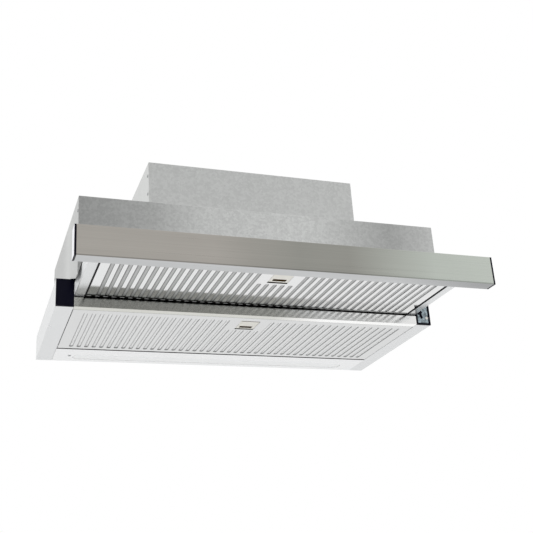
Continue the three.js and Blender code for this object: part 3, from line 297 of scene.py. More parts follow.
def brushed_steel(name, stops, roughness, contrast=1.0, underside=None):
    """Steel with fine brush lines along x, and a painted reflection: a slow drift in tone from left to right."""
    material, tree, shader = new_material(name)
    lines = noise(tree, stretch=(3.0, 700.0, 700.0), detail=4.0, roughness=0.7)
    cloud = noise(tree, 9.0, roughness=0.5)
    across = between(tree, along(tree, "X"), -HALF_WIDTH, HALF_WIDTH)
    shade = ramp(tree, across, stops)
    # The underside: a painted lit copy of the steel, with painted shade along the fold and at its right end
    if underside:
        height = along(tree, "Z")
        fold = ramp(tree, between(tree, height, 0.0, FOLD_REACH), FOLD_PAINTED_SHADE)
        below = ramp(tree, across, [(spot, [tone * part for part in underside]) for spot, tone in UNDERSIDE_SHADE_STOPS])
        under = between(tree, height, UNDERSIDE_TOP, 0.25 * UNDERSIDE_TOP)
        shade = mix(tree, under, product(tree, shade, fold), below)
    toned = tinted(tree, shade, lines, 1.0 - 0.07 * contrast, 1.0 + 0.06 * contrast)
    feed(tree, shader, {
        "Base Color": swung(tree, toned, cloud, 0.03 * contrast),
        "Roughness": between(tree, lines, 0.2, 0.8, roughness - 0.05, roughness + 0.07),
        "Metallic": 1.0,
        "Anisotropic": 0.4,
    })
    raise_surface(tree, shader, lines, distance=0.00002, strength=0.35 * contrast)
    return material


def zinc_sheet(name, shade, roughness=0.36, drift=None, contrast=1.0):
    """Galvanised sheet: spangle in flat grains, a fine mottle and rolled lines, and where drift gives one, a painted
    reflection and shade as a drift in tone along an axis.
    """
    material, tree, shader = new_material(name)
    grains = add(tree, "ShaderNodeTexVoronoi", {"Vector": place_of(tree), "Scale": 300.0, "Randomness": 1.0})
    spangle = add(tree, "ShaderNodeSeparateColor", {"Color": grains.outputs["Color"]}).outputs["Red"]
    mottle = noise(tree, 480.0)
    cloud = noise(tree, 16.0, detail=3.0)
    rolled = noise(tree, stretch=(300.0, 300.0, 2.5), roughness=0.5)
    toned = swung(tree, shade, spangle, 0.04 * contrast)
    toned = swung(tree, toned, mottle, 0.04 * contrast)
    toned = tinted(tree, toned, cloud, 0.985, 1.012)
    toned = swung(tree, toned, rolled, 0.015)
    # Painted reflection and shade: a drift in tone along an axis
    if drift:
        axis, first, last, tones = drift
        toned = product(tree, toned, ramp(tree, between(tree, along(tree, axis), first, last), greys(*tones)))
    feed(tree, shader, {
        "Base Color": toned,
        "Roughness": between(tree, spangle, 0.0, 1.0, roughness - 0.06, roughness + 0.08),
        "Metallic": 1.0,
    })
    raise_surface(tree, shader, mottle, distance=0.00006, strength=0.3)
    return material


def satin_sheet(name, shade, roughness, metallic=0.75, rear=None, bend=None):
    """Pale sheet with a fine rolled grain along y and faint clouds.

    Where rear gives one, a band along its rear edge carries painted shade and a painted reflection of the front
    rail, fading out to the right; and above the height bend it is a painted sheet.
    """
    material, tree, shader = new_material(name)
    grain = noise(tree, stretch=(900.0, 12.0, 900.0), detail=3.0, roughness=0.65)
    cloud = noise(tree, 7.0, roughness=0.4)
    toned = tinted(tree, shade, grain, 0.985, 1.012)
    toned = tinted(tree, toned, cloud, 0.99, 1.006)
    shine = metallic
    sheen = between(tree, cloud, 0.3, 0.7, roughness - 0.01, roughness + 0.02)
    if rear:
        edge, band, dark, bright = rear
        stops = [(0.0, WHITE), (0.06, bright), (0.22, bright), (0.50, dark)]
        rear_shade_band = product(tree, toned, ramp(tree, between(tree, along(tree, "Y"), edge - band, edge), stops))
        toned = mix(tree, between(tree, along(tree, "X"), *REAR_FADE), rear_shade_band, toned)
    if bend:
        height, top = along(tree, "Z"), bend + 0.0012
        shine = between(tree, height, bend, top, metallic, 0.0)
        sheen = between(tree, height, bend, top, roughness, 0.6)
    feed(tree, shader, {"Base Color": toned, "Roughness": sheen, "Metallic": shine})
    raise_surface(tree, shader, grain, distance=0.00002, strength=0.12)
    return material


def from_slot(tree, pitch, shift=0.0):
    """The distance along x from the middle of the nearest slot."""
    return calc(tree, "PINGPONG", calc(tree, "SUBTRACT", along(tree, "X"), shift), 0.5 * pitch)


def shaded_strip_sheet(name, shade, top, pitch):
    """Galvanised sheet with painted shade: black below a height in strips between the slots, and less so to the
    right.
    """
    material, tree, shader = new_material(name)
    mottle = noise(tree, 480.0)
    # Painted shade: strips between the slots, below the height top, fading to the right
    dark = between(tree, from_slot(tree, pitch), 0.20 * pitch, 0.32 * pitch, 0.35, 1.0)
    dark = calc(tree, "MULTIPLY", dark, between(tree, along(tree, "Z"), top + 0.0004, top))
    dark = calc(tree, "MULTIPLY", dark, between(tree, along(tree, "X"), *STRIP_FADE, 1.0, 0.15))
    feed(tree, shader, {
        "Base Color": mix(tree, dark, swung(tree, shade, mottle, 0.05), (0.01, 0.01, 0.01)),
        "Roughness": between(tree, mottle, 0.3, 0.7, 0.32, 0.42),
        "Metallic": 1.0,
    })
    raise_surface(tree, shader, mottle, distance=0.00006, strength=0.3)
    return material


def expanded_mesh(name, shade, depth, roughness, pitch, slot_edge_shade):
    """Expanded aluminium: bright strands round diamond holes, with painted shade on the layers behind and beside
    each slot.
    """
    material, tree, shader = new_material(name)
    place = place_of(tree, (1.0 / DIAMOND[0], 1.0 / DIAMOND[1], 1.0))
    axes = add(tree, "ShaderNodeSeparateXYZ", {"Vector": place}).outputs
    slants = []
    for operation in ("ADD", "SUBTRACT"):
        folded = calc(tree, "PINGPONG", calc(tree, operation, axes["X"], axes["Y"]), 0.5)
        slants.append(between(tree, folded, 0.10, 0.22, 1.0, 0.0))
    strand = calc(tree, "MAXIMUM", *slants)
    # Painted shade on the layers behind the strands
    shaded_layers = swung(tree, [depth * part for part in shade], noise(tree, 600.0), 0.3)
    # Painted shade beside each slot, where the sheet shades the mesh
    edge = between(tree, from_slot(tree, pitch, 0.075 * pitch), 0.14 * pitch, 0.18 * pitch, 1.0, slot_edge_shade)
    feed(tree, shader, {
        "Base Color": product(tree, mix(tree, strand, shaded_layers, shade), grey(tree, edge)),
        "Roughness": roughness,
        "Metallic": 0.85,
    })
    raise_surface(tree, shader, strand, distance=0.0003, strength=0.4)
    return material


def moulded(name, shade, roughness, grain=0.25, gloss=0.5, clouds=1.0):
    """Moulded plastic with a fine spark-eroded grain."""
    material, tree, shader = new_material(name)
    cloud = noise(tree, 25.0, roughness=0.5)
    feed(tree, shader, {
        "Base Color": tinted(tree, shade, cloud, 1.0 - 0.08 * clouds, 1.0 + 0.06 * clouds),
        "Roughness": between(tree, cloud, 0.3, 0.7, roughness - 0.04 * clouds, roughness + 0.06 * clouds),
        "Specular IOR Level": gloss,
    })
    raise_surface(tree, shader, noise(tree, 1500.0), distance=0.00004, strength=grain)
    return material


def printed_board(name, shade, track, pitch):
    """A circuit board with its tracks under the solder mask and tinned pads."""
    material, tree, shader = new_material(name)
    place = place_of(tree)
    brick = {"Vector": place, "Scale": 1.0 / pitch, "Mortar Size": 0.09, "Mortar Smooth": 0.2}
    tracks = between(tree, add(tree, "ShaderNodeTexBrick", brick).outputs["Fac"], 0.3, 0.7)
    cells = add(tree, "ShaderNodeTexVoronoi", {"Vector": place, "Scale": 0.55 / pitch, "Randomness": 0.25})
    pads = between(tree, cells.outputs["Distance"], 0.20, 0.17)
    feed(tree, shader, {
        "Base Color": mix(tree, pads, mix(tree, tracks, shade, track), (0.70, 0.68, 0.60)),
        "Roughness": 0.35,
        "Metallic": pads,
    })
    raise_surface(tree, shader, tracks, distance=0.00004, strength=0.4)
    return material


def glossy_cap(name, shade, polish, grain=0.02):
    """Polished black plastic that mirrors the room where it is seen almost edge on."""
    material, tree, shader = new_material(name)
    edge_on = add(tree, "ShaderNodeLayerWeight", {"Blend": 0.5}).outputs["Facing"]
    cloud = noise(tree, 25.0, roughness=0.5)
    worn = between(tree, cloud, 0.3, 0.7, 0.18, 0.26)
    feed(tree, shader, {
        "Base Color": swung(tree, shade, cloud, grain),
        "Roughness": worn,
        "Specular IOR Level": 0.12,
    })
    mirror = add(tree, "ShaderNodeBsdfAnisotropic", {"Color": opaque(polish), "Roughness": worn})
    surface = choose(tree, between(tree, edge_on, 0.72, 0.86), shader.outputs[0], mirror.outputs[0])
    feed(tree, tree.nodes["Material Output"], {"Surface": surface})
    return material


def build_finishes(colours):
    """Every material by its name."""
    pitch = bpy.context.scene.hood_shape.slot_pitch
    # The fascia's painted reflection: its tones from left to right
    fascia = [
        (0.30, colours.fascia_left), (0.50, colours.fascia_painted_dark),
        (0.62, colours.fascia_painted_dark), (0.84, colours.fascia_right),
    ]
    # The front rail's painted highlight: near white from right of the middle to its right end
    rail = [(0.0, colours.rail), (0.55, colours.rail), (0.68, (0.97, 0.97, 0.96)), (1.0, (0.99, 0.99, 0.98))]
    # Painted reflection on the body's front: dark at the left, bright in the middle, a dark patch towards the right
    front = ("X", -HALF_WIDTH, HALF_WIDTH, (
        (0.03, 0.55), (0.20, 0.68), (0.34, 0.95), (0.60, 1.02), (0.84, 0.62), (0.98, 0.86),
    ))
    # Painted shade and reflection on the body's sides: a drift in tone from front to back
    side = ("Y", -0.10, 0.10, ((0.0, 0.80), (0.25, 0.83), (0.45, 0.92), (0.75, 0.76), (1.0, 0.74)))
    # The upper grille's rear band: painted shade and a painted bluish reflection of the front rail
    rear = (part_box("upper_grille")[1].y, 0.0135, (0.02, 0.02, 0.018), (0.93, 0.97, 1.0))
    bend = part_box("drawer_side_left")[0].z + 0.0004
    strips_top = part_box("drawer_rear_bar")[0].z + 0.0006
    # A painted lit copy of the galvanised tone, for the body's front
    front_lit_tone = [1.1 * part for part in colours.galvanised]
    table = {
        "fascia_steel": (brushed_steel, dict(stops=fascia, roughness=0.30, underside=colours.fascia_under)),
        "rail_steel": (brushed_steel, dict(stops=rail, roughness=0.18, contrast=0.35)),
        "galvanised": (zinc_sheet, dict(shade=colours.galvanised)),
        "galvanised_front": (zinc_sheet, dict(shade=front_lit_tone, drift=front, contrast=1.3)),
        "rear_bar": (shaded_strip_sheet, dict(shade=colours.galvanised, top=strips_top, pitch=pitch)),
        "galvanised_side": (zinc_sheet, dict(shade=colours.galvanised, drift=side)),
        "painted_sheet": (satin_sheet, dict(shade=colours.painted, roughness=0.26)),
        "side_sheet": (satin_sheet, dict(shade=colours.painted, roughness=0.26, bend=bend)),
        "panel_sheet": (satin_sheet, dict(shade=colours.panel, roughness=0.26)),
        "upper_grille_steel": (
            satin_sheet, dict(shade=colours.upper_grille, roughness=0.10, metallic=1.0, rear=rear)),
        "grille_steel": (satin_sheet, dict(shade=colours.grille, roughness=0.10, metallic=0.85)),
        "aluminium_mesh": (
            expanded_mesh, dict(shade=colours.mesh, depth=0.8, roughness=0.32, pitch=pitch, slot_edge_shade=0.42)),
        "bright_mesh": (
            expanded_mesh, dict(shade=colours.bright_mesh, depth=0.92, roughness=0.2, pitch=pitch, slot_edge_shade=0.55)),
        "black_plastic": (moulded, dict(shade=colours.black, roughness=0.3, grain=0.1, gloss=0.1)),
        "cap_plastic": (glossy_cap, dict(shade=colours.black, polish=(0.93, 0.93, 0.96))),
        "rubber": (moulded, dict(shade=colours.rubber, roughness=0.6, grain=0.1, gloss=0.1)),
        "control_plate": (zinc_sheet, dict(shade=colours.control, roughness=0.3, contrast=9.0)),
        "slot_liner": (moulded, dict(shade=colours.liner, roughness=0.8, grain=0.3, gloss=0.1)),
        "latch_plastic": (moulded, dict(shade=colours.latch, roughness=0.4, grain=0.15, clouds=0.3)),
        "grey_plastic": (moulded, dict(shade=colours.grey, roughness=0.42)),
        "white_plastic": (moulded, dict(shade=colours.white, roughness=0.45)),
        "opal_plastic": (moulded, dict(shade=colours.opal, roughness=0.3, grain=0.05, clouds=0.15)),
        "board_green": (printed_board, dict(shade=colours.board, track=colours.track, pitch=0.004)),
        "lamp_board": (printed_board, dict(shade=colours.white, track=(0.86, 0.85, 0.80), pitch=0.009)),
        "zinc_steel": (zinc_sheet, dict(shade=colours.zinc, roughness=0.3)),
    }
    return {name: make(name, **values) for name, (make, values) in table.items()}


finishes = {}


def finish(piece, slot):
    """Gives a piece a finish through its material slots."""
    piece.data.materials.clear()
    piece.data.materials.append(finishes[slot])


# ---- Shapes -----------------------------------------------------------------------------

SIDES = ((-1, "left"), (1, "right"))
# Corners closer than this are one corner, and faces that turn by less are one face
WELD = 1e-6
FLAT = math.radians(0.5)
# Least clearance, in metres, of a strip from the sheet or plate beside it
HAIR = 0.00005

# A fastener's dome from its foot up, in shares of its radius and of its rise
DOME = ((1.0, 0.0), (1.0, 0.45), (0.88, 0.82), (0.62, 1.0))
DOME_SIDES = 12


def new_mesh(name, shape):
    mesh = bpy.data.meshes.new(name)
    shape.to_mesh(mesh)
    shape.free()
    return mesh


def new_object(name, data):
    item = bpy.data.objects.new(name, data)
    bpy.context.scene.collection.objects.link(item)
    return item


def add_piece(name, shape, body, slot, smooth=30.0):
    """A new piece from a bmesh, riding on a body, with a finish. Folds under smooth degrees are shaded round."""
    piece = new_object(name, new_mesh(name, shape))
    piece.data.shade_smooth()
    piece.data.set_sharp_from_angle(angle=math.radians(smooth))
    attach(piece, body)
    finish(piece, slot)
    return piece


def weld(shape):
    """Joins loose triangles into flat faces."""
    bmesh.ops.remove_doubles(shape, verts=shape.verts, dist=WELD)
    bmesh.ops.dissolve_limit(shape, angle_limit=FLAT, verts=shape.verts, edges=shape.edges)


def welded_copy(node):
    """A CAD node's mesh with its triangles joined into flat faces."""
    shape = bmesh.new()
    shape.from_mesh(nodes[node].data)
    weld(shape)
    return shape


def round_edges(shape, edges, radius, faces=2):
    if edges:
        bmesh.ops.bevel(
            shape, geom=edges, offset=radius, offset_type="OFFSET", affect="EDGES", segments=faces,
            profile=0.5, material=-1, clamp_overlap=True,
        )


def sharp_edges(shape, least=40.0):
    """Edges where the surface turns outwards by a wide angle."""
    limit = math.radians(least)
    return [edge for edge in shape.edges if edge.is_convex and edge.calc_face_angle(0.0) > limit]


def fold_edges(shape, width):
    """Sharp edges with a wide face on both sides, where a sheet is folded."""
    return [edge for edge in sharp_edges(shape)
            if min(face.calc_area() for face in edge.link_faces) > width * edge.calc_length()]


def shown_instead(node, shape, slot):
    """A piece that takes a CAD node's place, its wide faces kept flat in the shading."""
    piece = add_piece(node + "_rounded", shape, nodes[node]["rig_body"], slot, smooth=35.0)
    flat = piece.modifiers.new("flat_faces", "WEIGHTED_NORMAL")
    flat.keep_sharp = True
    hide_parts(node)


def rounded_piece(node, slot, radius):
    """A copy of a CAD node with its sharp edges rounded, shown in the node's place."""
    shape = welded_copy(node)
    round_edges(shape, sharp_edges(shape), radius)
    shown_instead(node, shape, slot)


def folded_piece(node, slot):
    """A copy of a folded CAD sheet with rounded folds and eased cut edges."""
    sizes = bpy.context.scene.hood_shape
    shape = welded_copy(node)
    round_edges(shape, fold_edges(shape, sizes.fold_width), sizes.fold_radius, sizes.fold_faces)
    round_edges(shape, sharp_edges(shape), sizes.cut_radius, faces=1)
    shown_instead(node, shape, slot)


def block(low, high):
    """A block between two corners."""
    shape = bmesh.new()
    corners = bmesh.ops.create_cube(shape, size=1.0)["verts"]
    bmesh.ops.scale(shape, verts=corners, vec=Vector(high) - Vector(low))
    bmesh.ops.translate(shape, verts=corners, vec=(Vector(low) + Vector(high)) / 2)
    return shape


def bar(low, high, radius):
    """A block between two corners, with eased edges."""
    shape = block(low, high)
    round_edges(shape, shape.edges[:], radius)
    return shape


def domed_head(radius, rise):
    """A fastener's domed head on z = 0, open at its top, and the edges of that opening."""
    shape = bmesh.new()
    rings = []
    for width, height in DOME:
        ring = bmesh.ops.create_circle(shape, cap_ends=False, segments=DOME_SIDES, radius=width * radius)["verts"]
        bmesh.ops.translate(shape, verts=ring, vec=(0.0, 0.0, height * rise))
        rings.append({edge for vert in ring for edge in vert.link_edges})
    for lower, upper in zip(rings, rings[1:]):
        bmesh.ops.bridge_loops(shape, edges=list(lower | upper))
    return shape, list(rings[-1])


def rivet_head(radius, rise):
    shape, opening = domed_head(radius, rise)
    bmesh.ops.contextual_create(shape, geom=opening)
    return head_mesh("rivet_head", shape)


def screw_head(radius, rise):
    """A pan head with a cross recess."""
    reach, arm, depth = 0.45 * radius, 0.15 * radius, 0.6 * rise
    shape, opening = domed_head(radius, rise)
    grid = bmesh.ops.create_grid(shape, x_segments=3, y_segments=3, size=reach)["verts"]
    bmesh.ops.translate(shape, verts=grid, vec=(0.0, 0.0, rise))
    faces = {face for vert in grid for face in vert.link_faces}
    corners = [face for face in faces if min(map(abs, face.calc_center_median()[:2])) > arm]
    bmesh.ops.delete(shape, geom=corners, context="FACES")
    cross = [face for face in faces if face.is_valid]
    border = {edge for face in cross for edge in face.edges if edge.is_boundary}
    bmesh.ops.bridge_loops(shape, edges=opening + list(border))
    sunk = bmesh.ops.extrude_face_region(shape, geom=cross)["geom"]
    floor = [vert for vert in sunk if isinstance(vert, bmesh.types.BMVert)]
    bmesh.ops.translate(shape, verts=floor, vec=(0.0, 0.0, -depth))
    return head_mesh("screw_head", shape)


def head_mesh(name, shape):
    bmesh.ops.recalc_face_normals(shape, faces=shape.faces)
    return new_mesh(name, shape)


def fasteners(name, body, head, places):
    """Copies of one zinc-plated head, each standing on a point and facing a direction."""
    shape = bmesh.new()
    for point, facing in places:
        start = len(shape.verts)
        shape.from_mesh(head)
        shape.verts.ensure_lookup_table()
        turn = Vector(facing).to_track_quat("Z", "Y").to_matrix().to_4x4()
        bmesh.ops.transform(shape, verts=shape.verts[start:], matrix=Matrix.Translation(point) @ turn)
    bpy.data.meshes.remove(head)
    add_piece(name, shape, body, "zinc_steel")


def spread(first, last, count):
    """Evenly spaced numbers from one to another."""
    return [first + (last - first) * i / (count - 1) for i in range(count)]


def finish_nodes(names, slot):
    for name in names:
        finish(nodes[name], slot)


# ---- Operators --------------------------------------------------------------------------


class HOOD_OT_finishes(bpy.types.Operator):
    """Builds the materials from the colours."""

    bl_idname = "hood.finishes"
    bl_label = "Finishes"

    def execute(self, context):
        finishes.update(build_finishes(context.scene.hood_colours))
        return {"FINISHED"}


class HOOD_OT_fascia(bpy.types.Operator):
    """The fascia with its end caps and brackets."""

    bl_idname = "hood.fascia"
    bl_label = "Fascia"

    def execute(self, context):
        folded_piece("fascia", "fascia_steel")
        for _, side in SIDES:
            rounded_piece("fascia_cap_" + side, "cap_plastic", context.scene.hood_shape.cut_radius)
            folded_piece("fascia_bracket_" + side, "zinc_steel")
        return {"FINISHED"}


class HOOD_OT_drawer(bpy.types.Operator):
    """The drawer's strips, front wall, top and rear bar."""

    bl_idname = "hood.drawer"
    bl_label = "Drawer"

    def execute(self, context):
        for _, side in SIDES:
            folded_piece("drawer_side_" + side, "side_sheet")
        folded_piece("drawer_front", "painted_sheet")
        folded_piece("drawer_top", "galvanised")
        folded_piece("drawer_rear_bar", "rear_bar")
        return {"FINISHED"}


class HOOD_OT_seam_strips(bpy.types.Operator):
    """Black strips in the seams round the filters, which make the seams dark."""

    bl_idname = "hood.gaskets"
    bl_label = "Gaskets"

    def execute(self, context):
        sizes = context.scene.hood_shape
        ease = 0.2 * sizes.seam_strip_height
        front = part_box("drawer_front")
        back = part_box("upper_grille")[1].y
        base = front[0].z - HAIR
        for side, name in SIDES:
            low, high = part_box("drawer_side_" + name)
            edge = (low.x if side > 0 else high.x) + side * sizes.seam_strip_lap
            near, far = sorted((edge, edge - side * sizes.seam_strip_width))
            strip = bar((near, front[1].y, base - sizes.seam_strip_height), (far, back, base), ease)
            add_piece("drawer_seam_strip_" + name, strip, "drawer", "rubber")
        low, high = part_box("light_panel")
        corner = Vector((low.x, low.y - sizes.seam_width, low.z + 3 * HAIR))
        far_corner = (high.x, low.y - 3 * HAIR, corner.z + sizes.seam_strip_height)
        add_piece("panel_seam_strip", bar(corner, far_corner, ease), "frame", "rubber")
        return {"FINISHED"}


class HOOD_OT_frame(bpy.types.Operator):
    """The lower frame: side rails, end caps, front rail and light panel."""

    bl_idname = "hood.frame"
    bl_label = "Lower frame"

    def execute(self, context):
        radius = context.scene.hood_shape.cut_radius
        for _, side in SIDES:
            folded_piece("side_rail_" + side, "painted_sheet")
            rounded_piece("end_cap_" + side, "black_plastic", radius)
        folded_piece("front_rail", "rail_steel")
        folded_piece("light_panel", "panel_sheet")
        folded_piece("rear_deck", "galvanised")
        return {"FINISHED"}


class HOOD_OT_lamp(bpy.types.Operator):
    """The lamp's diffuser, screw, housing, board and driver."""

    bl_idname = "hood.lamp"
    bl_label = "Lamp"

    def execute(self, context):
        radius = context.scene.hood_shape.cut_radius
        rounded_piece("light_diffuser", "opal_plastic", 1.5 * radius)
        rounded_piece("led_driver", "white_plastic", 1.5 * radius)
        folded_piece("lamp_housing", "galvanised")
        finish(nodes["led_board"], "lamp_board")
        finish(nodes["light_screw"], "zinc_steel")
        return {"FINISHED"}


class HOOD_OT_filters(bpy.types.Operator):
    """The two grease filters with their latches."""

    bl_idname = "hood.filters"
    bl_label = "Filters"

    def execute(self, context):
        radius = context.scene.hood_shape.cut_radius
        looks = (("upper", "upper_grille_steel", "aluminium_mesh"), ("lower", "grille_steel", "bright_mesh"))
        for level, grille, mesh in looks:
            finish(nodes[level + "_grille"], grille)
            self.flatten_mesh(level + "_mesh", mesh)
            self.lengthen_slot(level + "_latch", radius)
            self.add_slot_shade(level)
        self.add_gap_shade()
        return {"FINISHED"}

    def flatten_mesh(self, node, slot):
        """The pad with its pleats pressed flat, so that every slot shows the same."""
        low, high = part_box(node)
        shape = welded_copy(node)
        for vert in shape.verts:
            vert.co.z = low.z if vert.co.z < (low.z + high.z) / 2 else high.z
        weld(shape)
        shown_instead(node, shape, slot)

    def lengthen_slot(self, node, radius):
        """The latch with rounded edges and its finger slot drawn out towards the front."""
        sizes = bpy.context.scene.hood_shape
        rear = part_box(node)[1].y - sizes.finger_inset
        nearest, furthest = 0.0015, 0.0035  # the CAD slot's front edge lies between these, from its rear edge
        shape = welded_copy(node)
        for vert in shape.verts:
            inside = abs(vert.co.x) < sizes.finger_width / 2 + 2 * HAIR
            if inside and rear - furthest < vert.co.y < rear - nearest:
                vert.co.y = rear - sizes.finger_length
        round_edges(shape, sharp_edges(shape), radius)
        shown_instead(node, shape, "latch_plastic")

    def add_slot_shade(self, level):
        """A dark piece on the walls and the roof of the finger slot: painted shade in the slot."""
        sizes = bpy.context.scene.hood_shape
        low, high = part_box(level + "_latch")
        play, foot, roof = 0.00004, 0.0002, 0.0020
        half = sizes.finger_width / 2 - play
        rear = high.y - sizes.finger_inset - play
        front = rear - sizes.finger_length + 2 * play
        shape = block((-half, front, low.z + foot), (half, rear, low.z + roof))
        floor = min(shape.faces, key=lambda face: face.calc_center_median().z)
        bmesh.ops.delete(shape, geom=[floor], context="FACES_ONLY")
        bmesh.ops.solidify(shape, geom=shape.faces[:], thickness=2 * HAIR)
        bmesh.ops.recalc_face_normals(shape, faces=shape.faces)
        add_piece(level + "_slot_liner", shape, level + "_latch", "slot_liner")

    def add_gap_shade(self):
        """A dark strip on the lower latch's front edge, seen through the gap before it: painted shade in that gap.
        """
        low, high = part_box("lower_latch")
        half, width, height, play, ease = 0.0147, 0.0022, 0.0009, 0.00002, 0.00004
        edge = high.y - bpy.context.scene.hood_shape.latch_length
        strip = bar((-half, edge - width, low.z - HAIR), (half, edge - play, low.z + height), ease)
        add_piece("lower_gap_shade", strip, "lower_latch", "slot_liner")


class HOOD_OT_body(bpy.types.Operator):
    """The wide body and the upper box."""

    bl_idname = "hood.body"
    bl_label = "Body"

    def execute(self, context):
        folded_piece("body_front", "galvanised_front")
        for _, side in SIDES:
            folded_piece("body_side_" + side, "galvanised_side")
        for name in (
            "body_back", "body_top", "upper_front", "upper_side_left", "upper_side_right", "upper_back", "upper_top",
        ):
            folded_piece(name, "galvanised")
        return {"FINISHED"}


class HOOD_OT_rivets(bpy.types.Operator):
    """Rivets along the seams of the body and the upper box."""

    bl_idname = "hood.rivets"
    bl_label = "Rivets"

    # Distances of the rivets from the edges of their sheets
    wall_inset = 0.007
    foot_inset = 0.005
    rim_inset = 0.006
    upper_back_inset = 0.016
    rail_top = 0.05

    def execute(self, context):
        sizes = context.scene.hood_shape
        places = self.side_rows() + self.foot_rows() + self.rim_rows()
        fasteners("body_rivets", "frame", rivet_head(sizes.rivet_radius, sizes.rivet_rise), places)
        return {"FINISHED"}

    def side_rows(self):
        """Up the side walls, near their front and back edges."""
        below, above, count = 0.012, 0.02, 3
        places = []
        for wall, face in (("body_side_", "body_front"), ("upper_side_", "upper_front")):
            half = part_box(face)[1].x
            for side, name in SIDES:
                low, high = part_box(wall + name)
                heights = spread(max(low.z, self.rail_top) + below, high.z - above, count)
                for y in (low.y + self.wall_inset, high.y - self.wall_inset):
                    places += [((side * half, y, z), (side, 0, 0)) for z in heights]
        return places

    def foot_rows(self):
        """Through the upper box's feet into the body's top."""
        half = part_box("upper_front")[1].x
        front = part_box("upper_front")[0].y + self.foot_inset
        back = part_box("upper_back")[1].y - self.foot_inset
        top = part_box("body_front")[1].z
        across = spread(-half + 0.02, half - 0.02, 5)
        along_side = spread(front + 0.03, back - 0.03, 4)
        spots = [(x, y) for y in (front, back) for x in across]
        spots += [(side * (half + self.foot_inset), y) for side, _ in SIDES for y in along_side]
        return [((x, y, top), (0, 0, 1)) for x, y in spots]

    def rim_rows(self):
        """Through the flanges round the top of both boxes, and down the back."""
        places = []
        for part, count, back_inset in (("body", 6, self.rim_inset), ("upper", 4, self.upper_back_inset)):
            low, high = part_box(part + "_front")
            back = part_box(part + "_back")[1].y - back_inset
            across = spread(-high.x + 0.03, high.x - 0.03, count)
            places += [((x, y, high.z), (0, 0, 1)) for y in (high.y - self.rim_inset, back) for x in across]
        low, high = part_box("body_back")
        heights = spread(low.z + 0.015, high.z - 0.015, 3)
        sides = (low.x + self.wall_inset, high.x - self.wall_inset)
        return places + [((x, high.y, z), (0, 1, 0)) for x in sides for z in heights]


class HOOD_OT_outlet(bpy.types.Operator):
    """The duct collar and its two flaps."""

    bl_idname = "hood.outlet"
    bl_label = "Outlet"

    def execute(self, context):
        sizes = context.scene.hood_shape
        finish(nodes["outlet_spigot"], "black_plastic")
        finish_nodes(("flap_back", "flap_front"), "grey_plastic")
        inset, flange, first_turn, step = 0.0027, 0.0015, 30, 60
        low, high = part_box("outlet_spigot")
        middle = (low + high) / 2
        reach = (high.x - low.x) / 2 - inset
        turns = [math.radians(angle) for angle in range(first_turn, first_turn + 360, step)]
        places = [
            ((middle.x + reach * math.cos(turn), middle.y + reach * math.sin(turn), low.z + flange), (0, 0, 1))
            for turn in turns
        ]
        fasteners("outlet_screws", "frame", screw_head(sizes.screw_radius, sizes.screw_rise), places)
        return {"FINISHED"}


class HOOD_OT_fan(bpy.types.Operator):
    """The fan's scroll, wheel, motor and bracket."""

    bl_idname = "hood.fan"
    bl_label = "Fan"

    def execute(self, context):
        finish_nodes(("scroll_left", "scroll_right", "impeller"), "grey_plastic")
        finish_nodes(("fan_motor", "motor_bracket"), "zinc_steel")
        return {"FINISHED"}


class HOOD_OT_electronics(bpy.types.Operator):
    """The control box with what is in it, and the cable's gland."""

    bl_idname = "hood.electronics"
    bl_label = "Electronics"

    def execute(self, context):
        finish_nodes(("control_box", "control_cover"), "grey_plastic")
        finish(nodes["circuit_board"], "board_green")
        finish(nodes["capacitor"], "white_plastic")
        finish(nodes["cable_gland"], "black_plastic")
        return {"FINISHED"}


class HOOD_OT_slides(bpy.types.Operator):
    """The telescopic slides."""

    bl_idname = "hood.slides"
    bl_label = "Slides"

    def execute(self, context):
        for member in ("outer", "middle", "inner"):
            finish_nodes([f"slide_{member}_{side}" for _, side in SIDES], "zinc_steel")
        return {"FINISHED"}


class HOOD_OT_controls(bpy.types.Operator):
    """The button and the lever on the right end cap."""

    bl_idname = "hood.controls"
    bl_label = "Hand controls"

    def execute(self, context):
        sizes = context.scene.hood_shape
        rounded_piece("speed_button", "white_plastic", sizes.cut_radius)
        rounded_piece("control_lever", "black_plastic", sizes.cut_radius)
        depth, thickness = 0.00105, 0.0001
        low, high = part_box("end_cap_right")
        middle = (low + high) / 2
        wide, tall = high.x - low.x - 2 * sizes.cap_rim, high.z - low.z - 2 * sizes.cap_rim
        plate = bmesh.new()
        corners = bmesh.ops.create_grid(plate, x_segments=1, y_segments=1, size=0.5)["verts"]
        bmesh.ops.scale(plate, verts=corners, vec=(wide, tall, 1.0))
        bmesh.ops.rotate(plate, verts=corners, matrix=Matrix.Rotation(math.radians(90.0), 3, "X"))
        bmesh.ops.translate(plate, verts=corners, vec=(middle.x, low.y + depth, middle.z))
        bmesh.ops.solidify(plate, geom=plate.faces[:], thickness=-thickness)
        bmesh.ops.recalc_face_normals(plate, faces=plate.faces)
        add_piece("control_plate", plate, "frame", "control_plate")
        return {"FINISHED"}


# ---- Studio -----------------------------------------------------------------------------

CAMERA_PLACE = (-0.43269, -1.26796, -0.44029)
CAMERA_AHEAD = (0.32204821, 0.87054328, 0.37207438)
CAMERA_RIGHT = (0.94433822, -0.32326744, -0.06102043)
SENSOR_WIDTH = 36.0

FLOOR_HALF_WIDTH = 12.0
FLOOR_SHADE = (0.86, 0.86, 0.86)
MIRRORED_FLOOR = (0.98, 0.98, 0.98)
# What metal sees of the room's front wall and of the mat, from left to right
WALL_TONES = greys(
    (0.30, 0.92), (0.55, 0.66), (0.60, 0.72), (0.65, 0.72), (0.69, 0.66), (0.72, 0.66), (0.745, 0.86), (0.80, 0.97)
)
MAT_TONES = greys((0.0, 0.30), (0.53, 0.36), (0.60, 0.55), (0.67, 0.9), (0.74, 1.0))
